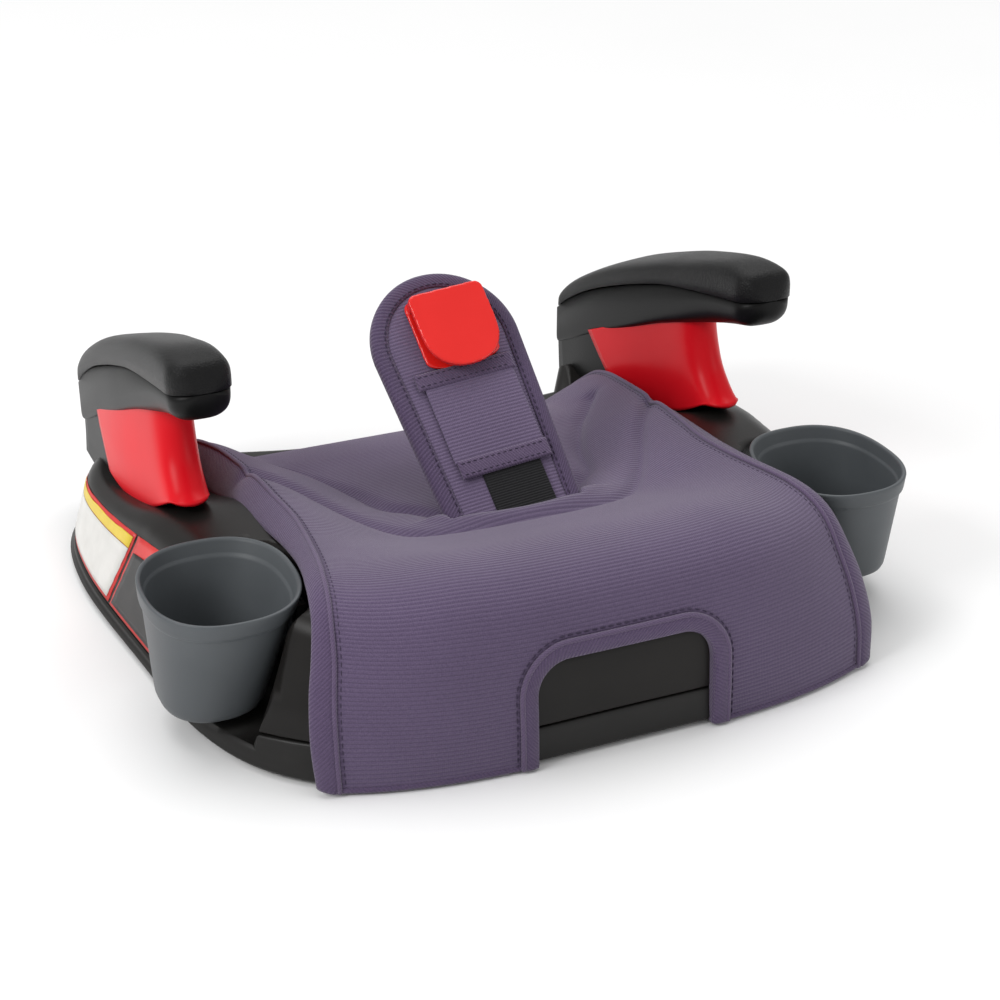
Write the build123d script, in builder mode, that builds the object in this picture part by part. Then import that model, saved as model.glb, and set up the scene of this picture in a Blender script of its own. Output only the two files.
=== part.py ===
"""Backless booster seat: hollow moulded base with a padded cover, two padded armrests with
belt guides, a folding crotch strap with a belt clip, and two lift-off cup holders.

Frame: +Z up, the front faces -Y, +X to the right of a viewer who faces the front.
Origin: on the floor, at the centre of the seat's footprint. All sizes in millimetres.
"""
from build123d import *
import math
import os

os.makedirs("parts", exist_ok=True)

# ---------------------------------------------------------------- driving dimensions
FOOT_HEIGHT = 3.0            # rubber feet below the tray
TRAY_TOP = 23.0              # parting line between the tray and the upper shell
WALL = 3.0                   # moulded wall thickness
GAP = 0.3                    # gap between neighbouring pieces
DEEP = -60.0                 # bottom of the construction blocks, well below the floor
LEAN_HEIGHT = 80.0           # height at which the leaning walls are given
COVER_THICKNESS = 3.0
FOAM_THICKNESS = 18.0
COVER_HALF_WIDTH = 147.0     # side border of the cover
COVER_HEM_HALF_WIDTH = 176.0  # the cover is widest at the front hem
DISH_HALF_WIDTH = 112.0      # low middle of the seat, between its wings
CUTOUT_HALF_WIDTH = 54.0     # opening in the cover's front
CUTOUT_TOP = 64.0
BINDING = 8.0                # width of the binding tape
SHELL_LEDGE_X = 142.5        # raised edge of the shell beside the foam

CUP_X = 193.0                # cup holder centre
CUP_Y = -93.0
CUP_RIM_Z = 88.0
CUP_BASE_Z = 17.5
CUP_HALF_X = 42.0
CUP_HALF_Y = 49.0
CUP_TAPER = 0.68
CUP_SHIFT = 10.0             # the cup's base sits further outboard than its rim
CUP_WALL = 2.4
POCKET_FLOOR_Z = 13.0
POCKET_CLEARANCE = 4.0

ARM_INNER_X = 155.0
ARM_OUTER_X = 202.0
ARM_FRONT_Y = -38.0
ARM_REAR_Y = 211.0

STRAP_LEAN = 46.0            # backward lean of the strap, from the vertical
STRAP_ROLL = 4.0             # sideways lean of the strap
STRAP_PIVOT_Y = -53.0
STRAP_PIVOT_Z = 77.0
STRAP_WIDTH = 80.0
STRAP_HEAD_WIDTH = 91.0
STRAP_LENGTH = 155.0
STRAP_THICKNESS = 7.0
WEBBING_WIDTH = 38.0
WEBBING_THICKNESS = 1.6
SLOT_HALF_X = 46.0
SLOT_HALF_Y = 14.0

SCREWS = [(144.5, -15), (-144.5, -15), (144.5, 110), (-144.5, 110)]
SCREW_RADIUS = 2.5
SCREW_LENGTH = 32.0

SIDES = (("left", -1), ("right", 1))

# Half outlines of the moulded base: on the floor, and at LEAN_HEIGHT.
FLOOR_OUTLINE = [(0, -207), (90, -205), (148, -190), (189, -157), (212, -105), (222, -30),
                 (233, 80), (223, 152), (186, 195), (130, 197), (60, 179), (0, 175)]
LEAN_OUTLINE = [(0, -199), (88, -197), (137, -173), (170, -136), (188, -92), (195, -25),
                (203, 80), (200, 148), (176, 189), (128, 190), (60, 172), (0, 168)]

# Top of the seat along its length: (y, height on the centre line, height at the wings).
SEAT_STATIONS = [(-215, 98, 96), (-185, 102, 98), (-163, 103, 99), (-120, 94, 95),
                 (-53, 75, 87), (20, 66, 82), (86, 59, 77), (130, 46, 64), (205, 16, 36)]

# Top of the moulded shoulder beside the seat, front to rear.
SHOULDER = [(-204, 45), (-196, 72), (-175, 86), (-130, 89), (-60, 82.5), (-10, 79),
            (20, 73), (60, 57), (100, 45), (140, 37), (206, 36)]

# Armrest, side view: the underside, the seam under the pad and the top of the pad.
ARM_UNDER = [(-38, 157), (0, 146), (63, 124), (104, 106), (150, 85), (185, 67), (211, 55)]
ARM_SEAM = [(-40, 174), (-8, 168), (54, 155), (92, 143), (126, 130), (158, 116),
            (189, 99), (211, 84)]
ARM_TOP = [(-40, 189), (-15, 190), (12, 185), (56, 174), (95, 163), (134, 150), (165, 134),
           (192, 117), (211, 98)]


# ---------------------------------------------------------------- shared shapes
def full_ring(half):
    """Closed outline from the half outline on the +X side."""
    return half + [(-x, y) for x, y in reversed(half[1:-1])]


def outline_at(height, grow):
    """Outline points of the base at a height, moved outwards by grow."""
    part_way = height / LEAN_HEIGHT
    half = []
    for (x0, y0), (x1, y1) in zip(FLOOR_OUTLINE, LEAN_OUTLINE):
        half.append((x0 + (x1 - x0) * part_way, y0 + (y1 - y0) * part_way))
    ring = full_ring(half)
    grown = []
    for index, (x, y) in enumerate(ring):
        before = ring[index - 1]
        after = ring[(index + 1) % len(ring)]
        along_x = after[0] - before[0]
        along_y = after[1] - before[1]
        length = math.hypot(along_x, along_y)
        grown.append((x + grow * along_y / length, y - grow * along_x / length))
    return grown


def base_block(low, high, grow):
    """Solid block with the leaning side walls of the base."""
    with BuildPart() as block:
        for height in (low, high):
            with BuildSketch(Plane.XY.offset(height)):
                with BuildLine():
                    Spline(*outline_at(height, grow), periodic=True)
                make_face()
        loft(ruled=True)
    return block.part


def side_prism(points, x_low, x_high, smooth=True):
    """Prism across X under a line of (y, z) points, down to the floor."""
    with BuildPart() as prism:
        with BuildSketch(Plane.YZ.offset(x_low)):
            with BuildLine():
                if smooth:
                    Spline(*points)
                else:
                    Polyline(*points)
                Polyline(points[-1], (points[-1][0], DEEP), (points[0][0], DEEP), points[0])
            make_face()
        extrude(amount=x_high - x_low)
    return prism.part


def seat_block(drop, inset):
    """Block under the dished top of the seat: a low middle between two raised wings."""
    middle = [(y, centre - drop) for y, centre, wing in SEAT_STATIONS]
    wings = [(y, wing - drop) for y, centre, wing in SEAT_STATIONS]
    with BuildPart() as block:
        add(side_prism(middle, -DISH_HALF_WIDTH, DISH_HALF_WIDTH))
        add(side_prism(wings, DISH_HALF_WIDTH, 230))
        add(side_prism(wings, -230, -DISH_HALF_WIDTH))
        with BuildSketch(Plane.YZ.offset(-250)):
            with BuildLine():
                knee = (-208 + inset, 60 - drop)
                crest = (-160 + inset, 104 - drop)
                Polyline((-216 + inset, DEEP), knee)
                Spline(knee, crest, tangents=[(0.08, 1), (1, 0)])
                Polyline(crest, (crest[0], 140), (230, 140), (230, DEEP), (-216 + inset, DEEP))
            make_face()
        extrude(amount=500, mode=Mode.INTERSECT)
    return block.part


def cover_region():
    """Block over the part of the base that the cover wraps, seen from above."""
    edge = COVER_HALF_WIDTH
    flare = COVER_HEM_HALF_WIDTH
    with BuildPart() as block:
        with BuildSketch(Plane.XY.offset(-5)):
            with BuildLine():
                Polyline((0, -240), (flare + 24, -240), (flare, -188), (edge + 5, -145),
                         (edge, -120), (edge, 230), (0, 230), (0, -240))
            make_face()
            mirror(about=Plane.YZ)
        extrude(amount=150)
    return block.part


def cover_shape(outer_grow, inner_grow):
    """The cover before it is trimmed, between its outer and inner surfaces."""
    with BuildPart() as inner:
        add(seat_block(COVER_THICKNESS, COVER_THICKNESS))
        add(base_block(-10, 120, inner_grow), mode=Mode.INTERSECT)
    with BuildPart() as layer:
        add(seat_block(0, 0))
        add(cover_region(), mode=Mode.INTERSECT)
        add(base_block(0, 120, outer_grow), mode=Mode.INTERSECT)
        add(inner.part, mode=Mode.SUBTRACT)
    return layer.part


def cutter(low, size_x=600, size_y=600, y=0, height=300):
    """Plain block used for trimming."""
    with BuildPart() as block:
        with BuildSketch(Plane.XY.offset(low)):
            with Locations((0, y)):
                Rectangle(size_x, size_y)
        extrude(amount=height)
    return block.part


def cup_section(height, grow):
    """Half sizes and centre of the cup holder at a height."""
    part_way = (CUP_RIM_Z - height) / (CUP_RIM_Z - CUP_BASE_Z)
    scale = 1 - (1 - CUP_TAPER) * part_way
    return CUP_HALF_X * scale + grow, CUP_HALF_Y * scale + grow, CUP_X + CUP_SHIFT * part_way


def cup_outline(half_x, half_y, centre_x, count=24, power=2.4):
    """Superellipse outline of the cup holder on the +X side."""
    points = []
    for step in range(count):
        turn = 2 * math.pi * step / count
        cos = math.cos(turn)
        sin = math.sin(turn)
        x = half_x * math.copysign(abs(cos) ** (2 / power), cos)
        y = half_y * math.copysign(abs(sin) ** (2 / power), sin)
        points.append((centre_x + x, CUP_Y + y))
    return points


def cup_block(low, high, grow):
    """Tapered solid with the cup holder's outline."""
    with BuildPart() as block:
        for height in (low, high):
            with BuildSketch(Plane.XY.offset(height)):
                with BuildLine():
                    Spline(*cup_outline(*cup_section(height, grow)), periodic=True)
                make_face()
        loft(ruled=True)
    return block.part


def pocket_block(grow):
    """Straight-sided pocket that holds a cup holder, on the +X side."""
    with BuildPart() as block:
        with BuildSketch(Plane.XY.offset(POCKET_FLOOR_Z - grow)):
            with BuildLine():
                half_x, half_y, centre = cup_section(CUP_RIM_Z, POCKET_CLEARANCE + grow)
                Spline(*cup_outline(half_x, half_y, centre), periodic=True)
            make_face()
            with Locations((CUP_X + 40, CUP_Y)):
                Rectangle(80, 2 * half_y)
        extrude(amount=120)
    return block.part


def save(name, solid):
    """Label a finished piece and write it."""
    solid.label = name
    export_step(solid, f"parts/{name}.step")


def both_sides(name, right_solid):
    """Write a piece and its mirror image."""
    save(f"{name}_right", right_solid)
    save(f"{name}_left", mirror(right_solid, about=Plane.YZ))


# ---------------------------------------------------------------- upper shell
SHELL_DROP = COVER_THICKNESS + FOAM_THICKNESS + 2 * GAP
# side view of the hollow under the seat, and of the hollows under the shoulders
HOLLOW_HALF_WIDTH = 138.0
HOLLOW = [(-194, 0), (-192, 34), (-178, 62), (-160, 78), (-120, 68), (-53, 49),
          (20, 40), (86, 33), (130, 19), (165, 2), (165, -10), (-194, -10)]
SIDE_HOLLOW_X = 171.0
SIDE_HOLLOW_WIDTH = 42.0
SIDE_HOLLOW = [(-30, -10), (-30, 72), (10, 70), (60, 52), (100, 40), (140, 33),
               (170, 32), (170, -10)]
SLOT_CORNER = 8.0

with BuildPart() as seat_shell:
    add(seat_block(SHELL_DROP, COVER_THICKNESS + GAP))
    add(side_prism(SHOULDER, SHELL_LEDGE_X, 240))
    add(side_prism(SHOULDER, -240, -SHELL_LEDGE_X))
    add(base_block(-10, 120, 0), mode=Mode.INTERSECT)
    add(pocket_block(0), mode=Mode.SUBTRACT)
    add(mirror(pocket_block(0), about=Plane.YZ), mode=Mode.SUBTRACT)
    # hollow underside, with walls about three millimetres thick on top
    with BuildSketch(Plane.YZ.offset(-HOLLOW_HALF_WIDTH)):
        with BuildLine():
            Polyline(*HOLLOW, HOLLOW[0])
        make_face()
    extrude(amount=2 * HOLLOW_HALF_WIDTH, mode=Mode.SUBTRACT)
    for side in (-1, 1):
        with BuildSketch(Plane.YZ.offset(side * SIDE_HOLLOW_X - SIDE_HOLLOW_WIDTH / 2)):
            with BuildLine():
                Polyline(*SIDE_HOLLOW, SIDE_HOLLOW[0])
            make_face()
        extrude(amount=SIDE_HOLLOW_WIDTH, mode=Mode.SUBTRACT)
    add(cutter(-310, height=310 + TRAY_TOP + GAP / 2), mode=Mode.SUBTRACT)
    with BuildSketch(Plane.XY.offset(TRAY_TOP)):
        with Locations((0, STRAP_PIVOT_Y)):
            RectangleRounded(2 * SLOT_HALF_X, 2 * SLOT_HALF_Y, SLOT_CORNER)
    extrude(amount=100, mode=Mode.SUBTRACT)
    with BuildSketch():
        with Locations(*SCREWS):
            Circle(SCREW_RADIUS + 0.02)
    extrude(amount=SCREW_LENGTH + 2, mode=Mode.SUBTRACT)
save("seat_shell", seat_shell.part)

# ---------------------------------------------------------------- lower tray
with BuildPart() as base_tray:
    add(base_block(0, TRAY_TOP, 0))
    add(base_block(FOOT_HEIGHT + WALL, TRAY_TOP + 5, -WALL), mode=Mode.SUBTRACT)
    add(cutter(-100, height=100 + FOOT_HEIGHT), mode=Mode.SUBTRACT)
    with BuildSketch(Plane.XY.offset(FOOT_HEIGHT + WALL)):
        with GridLocations(120, 0, 2, 1):
            Rectangle(WALL, 300)
        with GridLocations(0, 110, 1, 3):
            Rectangle(260, WALL)
    extrude(amount=TRAY_TOP - FOOT_HEIGHT - WALL - 3)
    add(pocket_block(0), mode=Mode.SUBTRACT)
    add(mirror(pocket_block(0), about=Plane.YZ), mode=Mode.SUBTRACT)
    with BuildSketch():
        with Locations(*SCREWS):
            Circle(SCREW_RADIUS + 0.2)
    extrude(amount=TRAY_TOP + 5, mode=Mode.SUBTRACT)
save("base_tray", base_tray.part)

# ---------------------------------------------------------------- feet and screws
FEET = [(150, -150), (-150, -150), (160, 150), (-160, 150)]
with BuildPart() as rubber_feet:
    with BuildSketch():
        with Locations(*FEET):
            Circle(11)
    extrude(amount=FOOT_HEIGHT)
    chamfer(rubber_feet.faces().filter_by(Axis.Z).group_by(Axis.Z)[0].edges(), 1)
save("rubber_feet", rubber_feet.part)

# ---------------------------------------------------------------- padded seat
FOAM_FRONT_Y = -148.0
FOAM_REAR_Y = 138.0
SEAT_MIDDLE = [(y, middle) for y, middle, wing in SEAT_STATIONS]
SEAT_WINGS = [(y, wing) for y, middle, wing in SEAT_STATIONS]


def foam_slab(points, x_low, x_high):
    """Slab of foam that follows a side-view line of (y, z) points."""
    upper = [(y, z - COVER_THICKNESS - 2 * GAP) for y, z in points]
    lower = [(y, z - SHELL_DROP + 2 * GAP) for y, z in reversed(points)]
    with BuildPart() as slab:
        with BuildSketch(Plane.YZ.offset(x_low)):
            with BuildLine():
                Spline(*upper)
                Line(upper[-1], lower[0])
                Spline(*lower)
                Line(lower[-1], upper[0])
            make_face()
            with Locations(((FOAM_FRONT_Y + FOAM_REAR_Y) / 2, 0)):
                Rectangle(FOAM_REAR_Y - FOAM_FRONT_Y, 400, mode=Mode.INTERSECT)
        extrude(amount=x_high - x_low)
    return slab.part


foam_edge = SHELL_LEDGE_X - 2 * GAP
with BuildPart() as seat_foam:
    add(foam_slab(SEAT_MIDDLE, -DISH_HALF_WIDTH, DISH_HALF_WIDTH))
    add(foam_slab(SEAT_WINGS, DISH_HALF_WIDTH + GAP, foam_edge))
    add(foam_slab(SEAT_WINGS, -foam_edge, -DISH_HALF_WIDTH - GAP))
    with BuildSketch(Plane.XY.offset(TRAY_TOP)):
        with Locations((0, STRAP_PIVOT_Y)):
            RectangleRounded(2 * SLOT_HALF_X, 2 * SLOT_HALF_Y, SLOT_CORNER)
    extrude(amount=100, mode=Mode.SUBTRACT)
save("seat_foam", seat_foam.part)

cover_layer = cover_shape(4, 2 * GAP)
with BuildPart() as seat_cover:
    add(cover_layer)
    add(cutter(-300, height=300 + 1.5), mode=Mode.SUBTRACT)
    add(cutter(-300, y=300, height=300 + 26), mode=Mode.SUBTRACT)
    with BuildSketch(Plane.XZ.offset(150)):
        RectangleRounded(2 * CUTOUT_HALF_WIDTH + 2 * BINDING, 2 * CUTOUT_TOP + 2 * BINDING, 26)
    extrude(amount=100, mode=Mode.SUBTRACT)
    with BuildSketch(Plane.XY.offset(TRAY_TOP)):
        with Locations((0, STRAP_PIVOT_Y)):
            RectangleRounded(2 * SLOT_HALF_X, 2 * SLOT_HALF_Y, SLOT_CORNER)
    extrude(amount=100, mode=Mode.SUBTRACT)
save("seat_cover", seat_cover.part)

with BuildPart() as shell_screws:
    with BuildSketch(Plane.XY.offset(0.8)):
        with Locations(*SCREWS):
            Circle(2 * SCREW_RADIUS)
    extrude(amount=FOOT_HEIGHT - 0.8)
    with BuildSketch(Plane.XY.offset(0.8)):
        with Locations(*SCREWS):
            Circle(SCREW_RADIUS)
    extrude(amount=SCREW_LENGTH)
save("shell_screws", shell_screws.part)

# binding tape and piping round the opening in the cover's front
with BuildPart() as cutout_binding:
    with BuildSketch(Plane.XZ.offset(150)):
        outer_x = 2 * CUTOUT_HALF_WIDTH + 2 * BINDING - 2 * GAP
        outer_z = 2 * CUTOUT_TOP + 2 * BINDING - 2 * GAP
        RectangleRounded(outer_x, outer_z, 25)
        RectangleRounded(2 * CUTOUT_HALF_WIDTH, 2 * CUTOUT_TOP, 19, mode=Mode.SUBTRACT)
        with Locations((0, -98)):
            Rectangle(300, 200, mode=Mode.SUBTRACT)
    extrude(amount=100)
    add(cover_layer, mode=Mode.INTERSECT)
save("cutout_binding", cutout_binding.part)


# ---------------------------------------------------------------- armrests
ARM_MIDDLE_X = (ARM_INNER_X + ARM_OUTER_X) / 2
ARM_MIDDLE_Y = (ARM_FRONT_Y + ARM_REAR_Y) / 2
POST_FRONT = [(29, 150), (28, 126), (16, 106), (-6, 82)]
POST_SECTION = [(158, 30), (160.5, 165), (195, 165), (196, 130), (203.5, 80), (214, 48), (217, 30)]
GUIDE_LOW = [(-14, 88), (17, 79), (46, 66), (76, 54), (102, 46), (132, 40), (152, 39),
             (170, 43), (180, 52), (187, 70)]
GUIDE_WALL = 2.6
POST_REAR_Y = 206.0
POST_FOOT_FRONT_Z = 73.3      # the post's foot before it is cut to the shoulder
POST_FOOT_REAR_Z = 36.3
SIDE_LOW_X = 140.0           # construction blocks on the +X side span these two
SIDE_HIGH_X = 230.0
ARM_SCREWS = [(178, 70, 95), (178, 130, 68)]


def arm_slice(lower, upper, inset):
    """A lengthwise layer of the armrest between two side-view curves."""
    width = ARM_OUTER_X - ARM_INNER_X - 2 * inset
    length = ARM_REAR_Y - ARM_FRONT_Y - 2 * inset
    with BuildPart() as piece:
        with BuildSketch(Plane.YZ.offset(ARM_INNER_X + inset)):
            with BuildLine():
                Spline(*lower)
                Line(lower[-1], upper[0])
                Spline(*upper)
                Line(upper[-1], lower[0])
            make_face()
        extrude(amount=width)
        with BuildSketch():
            with Locations((ARM_MIDDLE_X, ARM_MIDDLE_Y)):
                RectangleRounded(width, length, 15)
        extrude(amount=250, mode=Mode.INTERSECT)
    return piece.part


def screw_holes(radius):
    """Bores for the screws that hold an armrest to its post."""
    with BuildPart() as bores:
        for x, y, z in ARM_SCREWS:
            with BuildSketch(Plane.XY.offset(z)):
                with Locations((x, y)):
                    Circle(radius)
            extrude(amount=30)
    return bores.part


def post_block(inset):
    """Post between the shell's shoulder and the armrest, before it is split."""
    front = [(y + inset, z) for y, z in POST_FRONT]
    head = [(y, z - GAP) for y, z in ARM_UNDER]
    inner = [(x + inset, z) for x, z in POST_SECTION[:2]]
    outer = [(x - inset, z) for x, z in POST_SECTION[2:]]
    with BuildPart() as block:
        with BuildSketch(Plane.XZ.offset(-POST_REAR_Y)):
            with BuildLine():
                Polyline(*inner, *outer, inner[0])
            make_face()
        extrude(amount=250)
        with BuildSketch(Plane.YZ.offset(SIDE_LOW_X)):
            with BuildLine():
                Spline(*front)
                Polyline(front[-1], (front[-1][0], POST_FOOT_FRONT_Z), (POST_REAR_Y, POST_FOOT_REAR_Z),
                         (POST_REAR_Y, 170), (front[0][0], 170), front[0])
            make_face()
        extrude(amount=SIDE_HIGH_X - SIDE_LOW_X, mode=Mode.INTERSECT)
        with BuildSketch(Plane.YZ.offset(SIDE_LOW_X)):
            with BuildLine():
                Spline(*head)
                Polyline(head[-1], (head[-1][0], -5), (head[0][0], -5), head[0])
            make_face()
        extrude(amount=SIDE_HIGH_X - SIDE_LOW_X, mode=Mode.INTERSECT)
        add(side_prism([(y, z + GAP) for y, z in SHOULDER], SIDE_LOW_X, 240), mode=Mode.SUBTRACT)
    return block.part


def guide_region(extra):
    """Side-view region of the belt guide, with its lower edge dropped by extra."""
    low = [(y, z - extra) for y, z in GUIDE_LOW]
    with BuildPart() as region:
        with BuildSketch(Plane.YZ.offset(SIDE_LOW_X)):
            with BuildLine():
                Spline(*low)
                Polyline(low[-1], (low[-1][0], 200), (-40, 200), (-40, low[0][1]), low[0])
            make_face()
        extrude(amount=SIDE_HIGH_X - SIDE_LOW_X)
    return region.part


with BuildPart() as armrest_underside:
    add(arm_slice(ARM_UNDER, [(y, z - GAP) for y, z in ARM_SEAM][::-1], 1.5))
    add(screw_holes(2.3), mode=Mode.SUBTRACT)
with BuildPart() as guide_recess:
    add(post_block(0))
    add(post_block(GUIDE_WALL + GAP), mode=Mode.SUBTRACT)
    add(guide_region(GAP), mode=Mode.INTERSECT)
with BuildPart() as armrest_post:
    add(post_block(0))
    add(guide_recess.part, mode=Mode.SUBTRACT)
    add(screw_holes(2.3), mode=Mode.SUBTRACT)
with BuildPart() as belt_guide:
    add(post_block(0))
    add(post_block(GUIDE_WALL), mode=Mode.SUBTRACT)
    add(guide_region(0), mode=Mode.INTERSECT)
both_sides("armrest_pad", arm_slice(ARM_SEAM, ARM_TOP[::-1], 0))
both_sides("armrest_underside", armrest_underside.part)
both_sides("armrest_post", armrest_post.part)
both_sides("belt_guide", belt_guide.part)

with BuildPart() as armrest_screws:
    for x, y, z in ARM_SCREWS:
        with BuildSketch(Plane.XY.offset(z)):
            with Locations((x, y), (-x, y)):
                Circle(2.25)
        extrude(amount=28)
save("armrest_screws", armrest_screws.part)

# ---------------------------------------------------------------- cup holders
BRACKET_X = 148.2
BRACKET_Z = 38.0
BRACKET_HEIGHT = 32.0
with BuildPart() as cup_bracket:
    with BuildSketch(Plane.XY.offset(BRACKET_Z)):
        with Locations((BRACKET_X + 2.9, CUP_Y)):
            Rectangle(5.8, 28)
    extrude(amount=BRACKET_HEIGHT)
    with BuildSketch(Plane.XY.offset(BRACKET_Z + 3)):
        with Locations((BRACKET_X + 2.7, CUP_Y)):
            Rectangle(2.8, 20)
        with Locations((BRACKET_X + 4.9, CUP_Y)):
            Rectangle(2.4, 10)
    extrude(amount=BRACKET_HEIGHT, mode=Mode.SUBTRACT)
both_sides("cup_bracket", cup_bracket.part)

with BuildPart() as cup_holder:
    add(cup_block(CUP_BASE_Z, CUP_RIM_Z, 0))
    with BuildSketch(Plane.XY.offset(CUP_RIM_Z - 10)):
        with BuildLine():
            half_x, half_y, centre = cup_section(CUP_RIM_Z, 1.4)
            Spline(*cup_outline(half_x, half_y, centre), periodic=True)
        make_face()
    extrude(amount=10)
    with BuildSketch(Plane.XY.offset(BRACKET_Z + 4)):
        with Locations((BRACKET_X + 2.7, CUP_Y)):
            Rectangle(1.8, 19)
        with Locations((BRACKET_X + 10, CUP_Y)):
            Rectangle(15, 9)
    extrude(amount=BRACKET_HEIGHT - 4)
    add(cup_block(CUP_BASE_Z + CUP_WALL, CUP_RIM_Z + 1, -CUP_WALL), mode=Mode.SUBTRACT)
both_sides("cup_holder", cup_holder.part)

# ---------------------------------------------------------------- crotch strap
lean = math.radians(STRAP_LEAN)
roll = math.radians(STRAP_ROLL)
up = Vector(0, math.sin(lean), math.cos(lean))
across = Vector(math.cos(roll), 0, 0) + up * math.sin(roll)
STRAP_PLANE = Plane(origin=(0, STRAP_PIVOT_Y, STRAP_PIVOT_Z), x_dir=across,
                    z_dir=(0, -math.cos(lean), math.sin(lean)))
HEAD_V = STRAP_LENGTH - STRAP_HEAD_WIDTH / 2
PAD_HALF = STRAP_THICKNESS / 2
BINDING_HALF = 4.2
EDGE_TAPE = 10.0


def strap_level(level):
    """Plane of the strap, moved forwards by level."""
    return STRAP_PLANE.offset(level)


def strap_face(inset):
    """Tongue-shaped outline of the strap, shrunk by inset."""
    foot = STRAP_WIDTH / 2 - inset
    head = STRAP_HEAD_WIDTH / 2 - inset
    with BuildSketch() as face:
        with BuildLine():
            Line((foot, 0), (head, HEAD_V))
            ThreePointArc((head, HEAD_V), (0, HEAD_V + head), (-head, HEAD_V))
            Polyline((-head, HEAD_V), (-foot, 0), (foot, 0))
        make_face()
    return face.sketch


def strap_box(u_low, u_high, v_low, v_high, level, thickness):
    """Plain slab lying on the strap."""
    with BuildPart() as slab:
        with BuildSketch(strap_level(level)):
            with Locations(((u_low + u_high) / 2, (v_low + v_high) / 2)):
                Rectangle(u_high - u_low, v_high - v_low)
        extrude(amount=thickness)
    return slab.part


FRONT_LEVEL = PAD_HALF + 0.1
OVER_WEBBING = FRONT_LEVEL + WEBBING_THICKNESS + 0.1

with BuildPart() as strap_stiffener:
    with BuildSketch(strap_level(-0.6)):
        add(strap_face(EDGE_TAPE + 4))
    extrude(amount=1.2)
save("strap_stiffener", strap_stiffener.part)

with BuildPart() as strap_pad:
    with BuildSketch(strap_level(-PAD_HALF)):
        add(strap_face(EDGE_TAPE + 0.1))
    extrude(amount=STRAP_THICKNESS)
    with BuildSketch(strap_level(-0.7)):
        add(strap_face(EDGE_TAPE + 3.9))
    extrude(amount=1.4, mode=Mode.SUBTRACT)
save("strap_pad", strap_pad.part)

with BuildPart() as strap_binding:
    with BuildSketch(strap_level(-BINDING_HALF)):
        add(strap_face(0))
        add(strap_face(EDGE_TAPE), mode=Mode.SUBTRACT)
    extrude(amount=2 * BINDING_HALF)
save("strap_binding", strap_binding.part)

WEBBING_OFFSET = 5.0         # the webbing runs a little off the strap's centre
SLEEVE_THICKNESS = 1.4
BAND_THICKNESS = 2.2
SLEEVE = (-29, 31, 35.2, 83.8)
LOWER_BAND = (-29, 31, 24, 35)
UPPER_BAND = (-31, 32, 84, 94)
save("strap_webbing", strap_box(WEBBING_OFFSET - WEBBING_WIDTH / 2, WEBBING_OFFSET + WEBBING_WIDTH / 2,
                                0, 100, FRONT_LEVEL, WEBBING_THICKNESS))
save("strap_sleeve", strap_box(*SLEEVE, OVER_WEBBING, SLEEVE_THICKNESS))
save("sleeve_band_lower", strap_box(*LOWER_BAND, OVER_WEBBING, BAND_THICKNESS))
save("sleeve_band_upper", strap_box(*UPPER_BAND, OVER_WEBBING, BAND_THICKNESS))

CLIP_LEFT, CLIP_RIGHT = -30.0, 21.0
CLIP_LOW, CLIP_TOP = 95.0, 144.0
CLIP_SLOT = 7.0
CLIP_BACK = 2.2
CLIP_FRONT = 3.0
CLIP_BEND = 118.0            # the hook's straight sides end here
CLIP_TIP = 92.5
middle = (CLIP_LEFT + CLIP_RIGHT) / 2
half = (CLIP_RIGHT - CLIP_LEFT) / 2
with BuildPart() as belt_clip:
    with BuildSketch(strap_level(OVER_WEBBING)):
        with Locations((middle, (CLIP_LOW + CLIP_TOP) / 2)):
            RectangleRounded(CLIP_RIGHT - CLIP_LEFT, CLIP_TOP - CLIP_LOW, 5)
    extrude(amount=CLIP_BACK)
    with BuildSketch(strap_level(OVER_WEBBING)):
        with Locations((middle, CLIP_TOP - 2)):
            Rectangle(CLIP_RIGHT - CLIP_LEFT - 6, 4)
    extrude(amount=CLIP_BACK + CLIP_SLOT + CLIP_FRONT)
    with BuildSketch(strap_level(OVER_WEBBING + CLIP_BACK + CLIP_SLOT)):
        with BuildLine():
            Polyline((middle - half, CLIP_BEND), (middle - half, CLIP_TOP), (middle + half, CLIP_TOP),
                     (middle + half, CLIP_BEND))
            ThreePointArc((middle + half, CLIP_BEND), (middle, CLIP_TIP), (middle - half, CLIP_BEND))
        make_face()
    extrude(amount=CLIP_FRONT)
save("belt_clip", belt_clip.part)

# anchor of the strap inside the base
ANCHOR_Z = 34.0
PIN_RADIUS = 3.0
PIN_HALF = 29.0
with BuildPart() as strap_anchor:
    with BuildSketch(Plane.XY.offset(FOOT_HEIGHT + WALL)):
        with Locations((0, STRAP_PIVOT_Y)):
            Rectangle(56, 34)
    extrude(amount=2)
    with BuildSketch(Plane.XY.offset(FOOT_HEIGHT + WALL)):
        with Locations((-26, STRAP_PIVOT_Y), (26, STRAP_PIVOT_Y)):
            Rectangle(2, 16)
    extrude(amount=ANCHOR_Z + 8 - FOOT_HEIGHT - WALL)
    with BuildSketch(Plane.YZ.offset(-40)):
        with Locations((STRAP_PIVOT_Y, ANCHOR_Z)):
            Circle(PIN_RADIUS + 0.03)
    extrude(amount=80, mode=Mode.SUBTRACT)
save("strap_anchor", strap_anchor.part)

with BuildPart() as anchor_pin:
    with BuildSketch(Plane.YZ.offset(-PIN_HALF)):
        with Locations((STRAP_PIVOT_Y, ANCHOR_Z)):
            Circle(PIN_RADIUS)
    extrude(amount=2 * PIN_HALF)
save("anchor_pin", anchor_pin.part)

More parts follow.
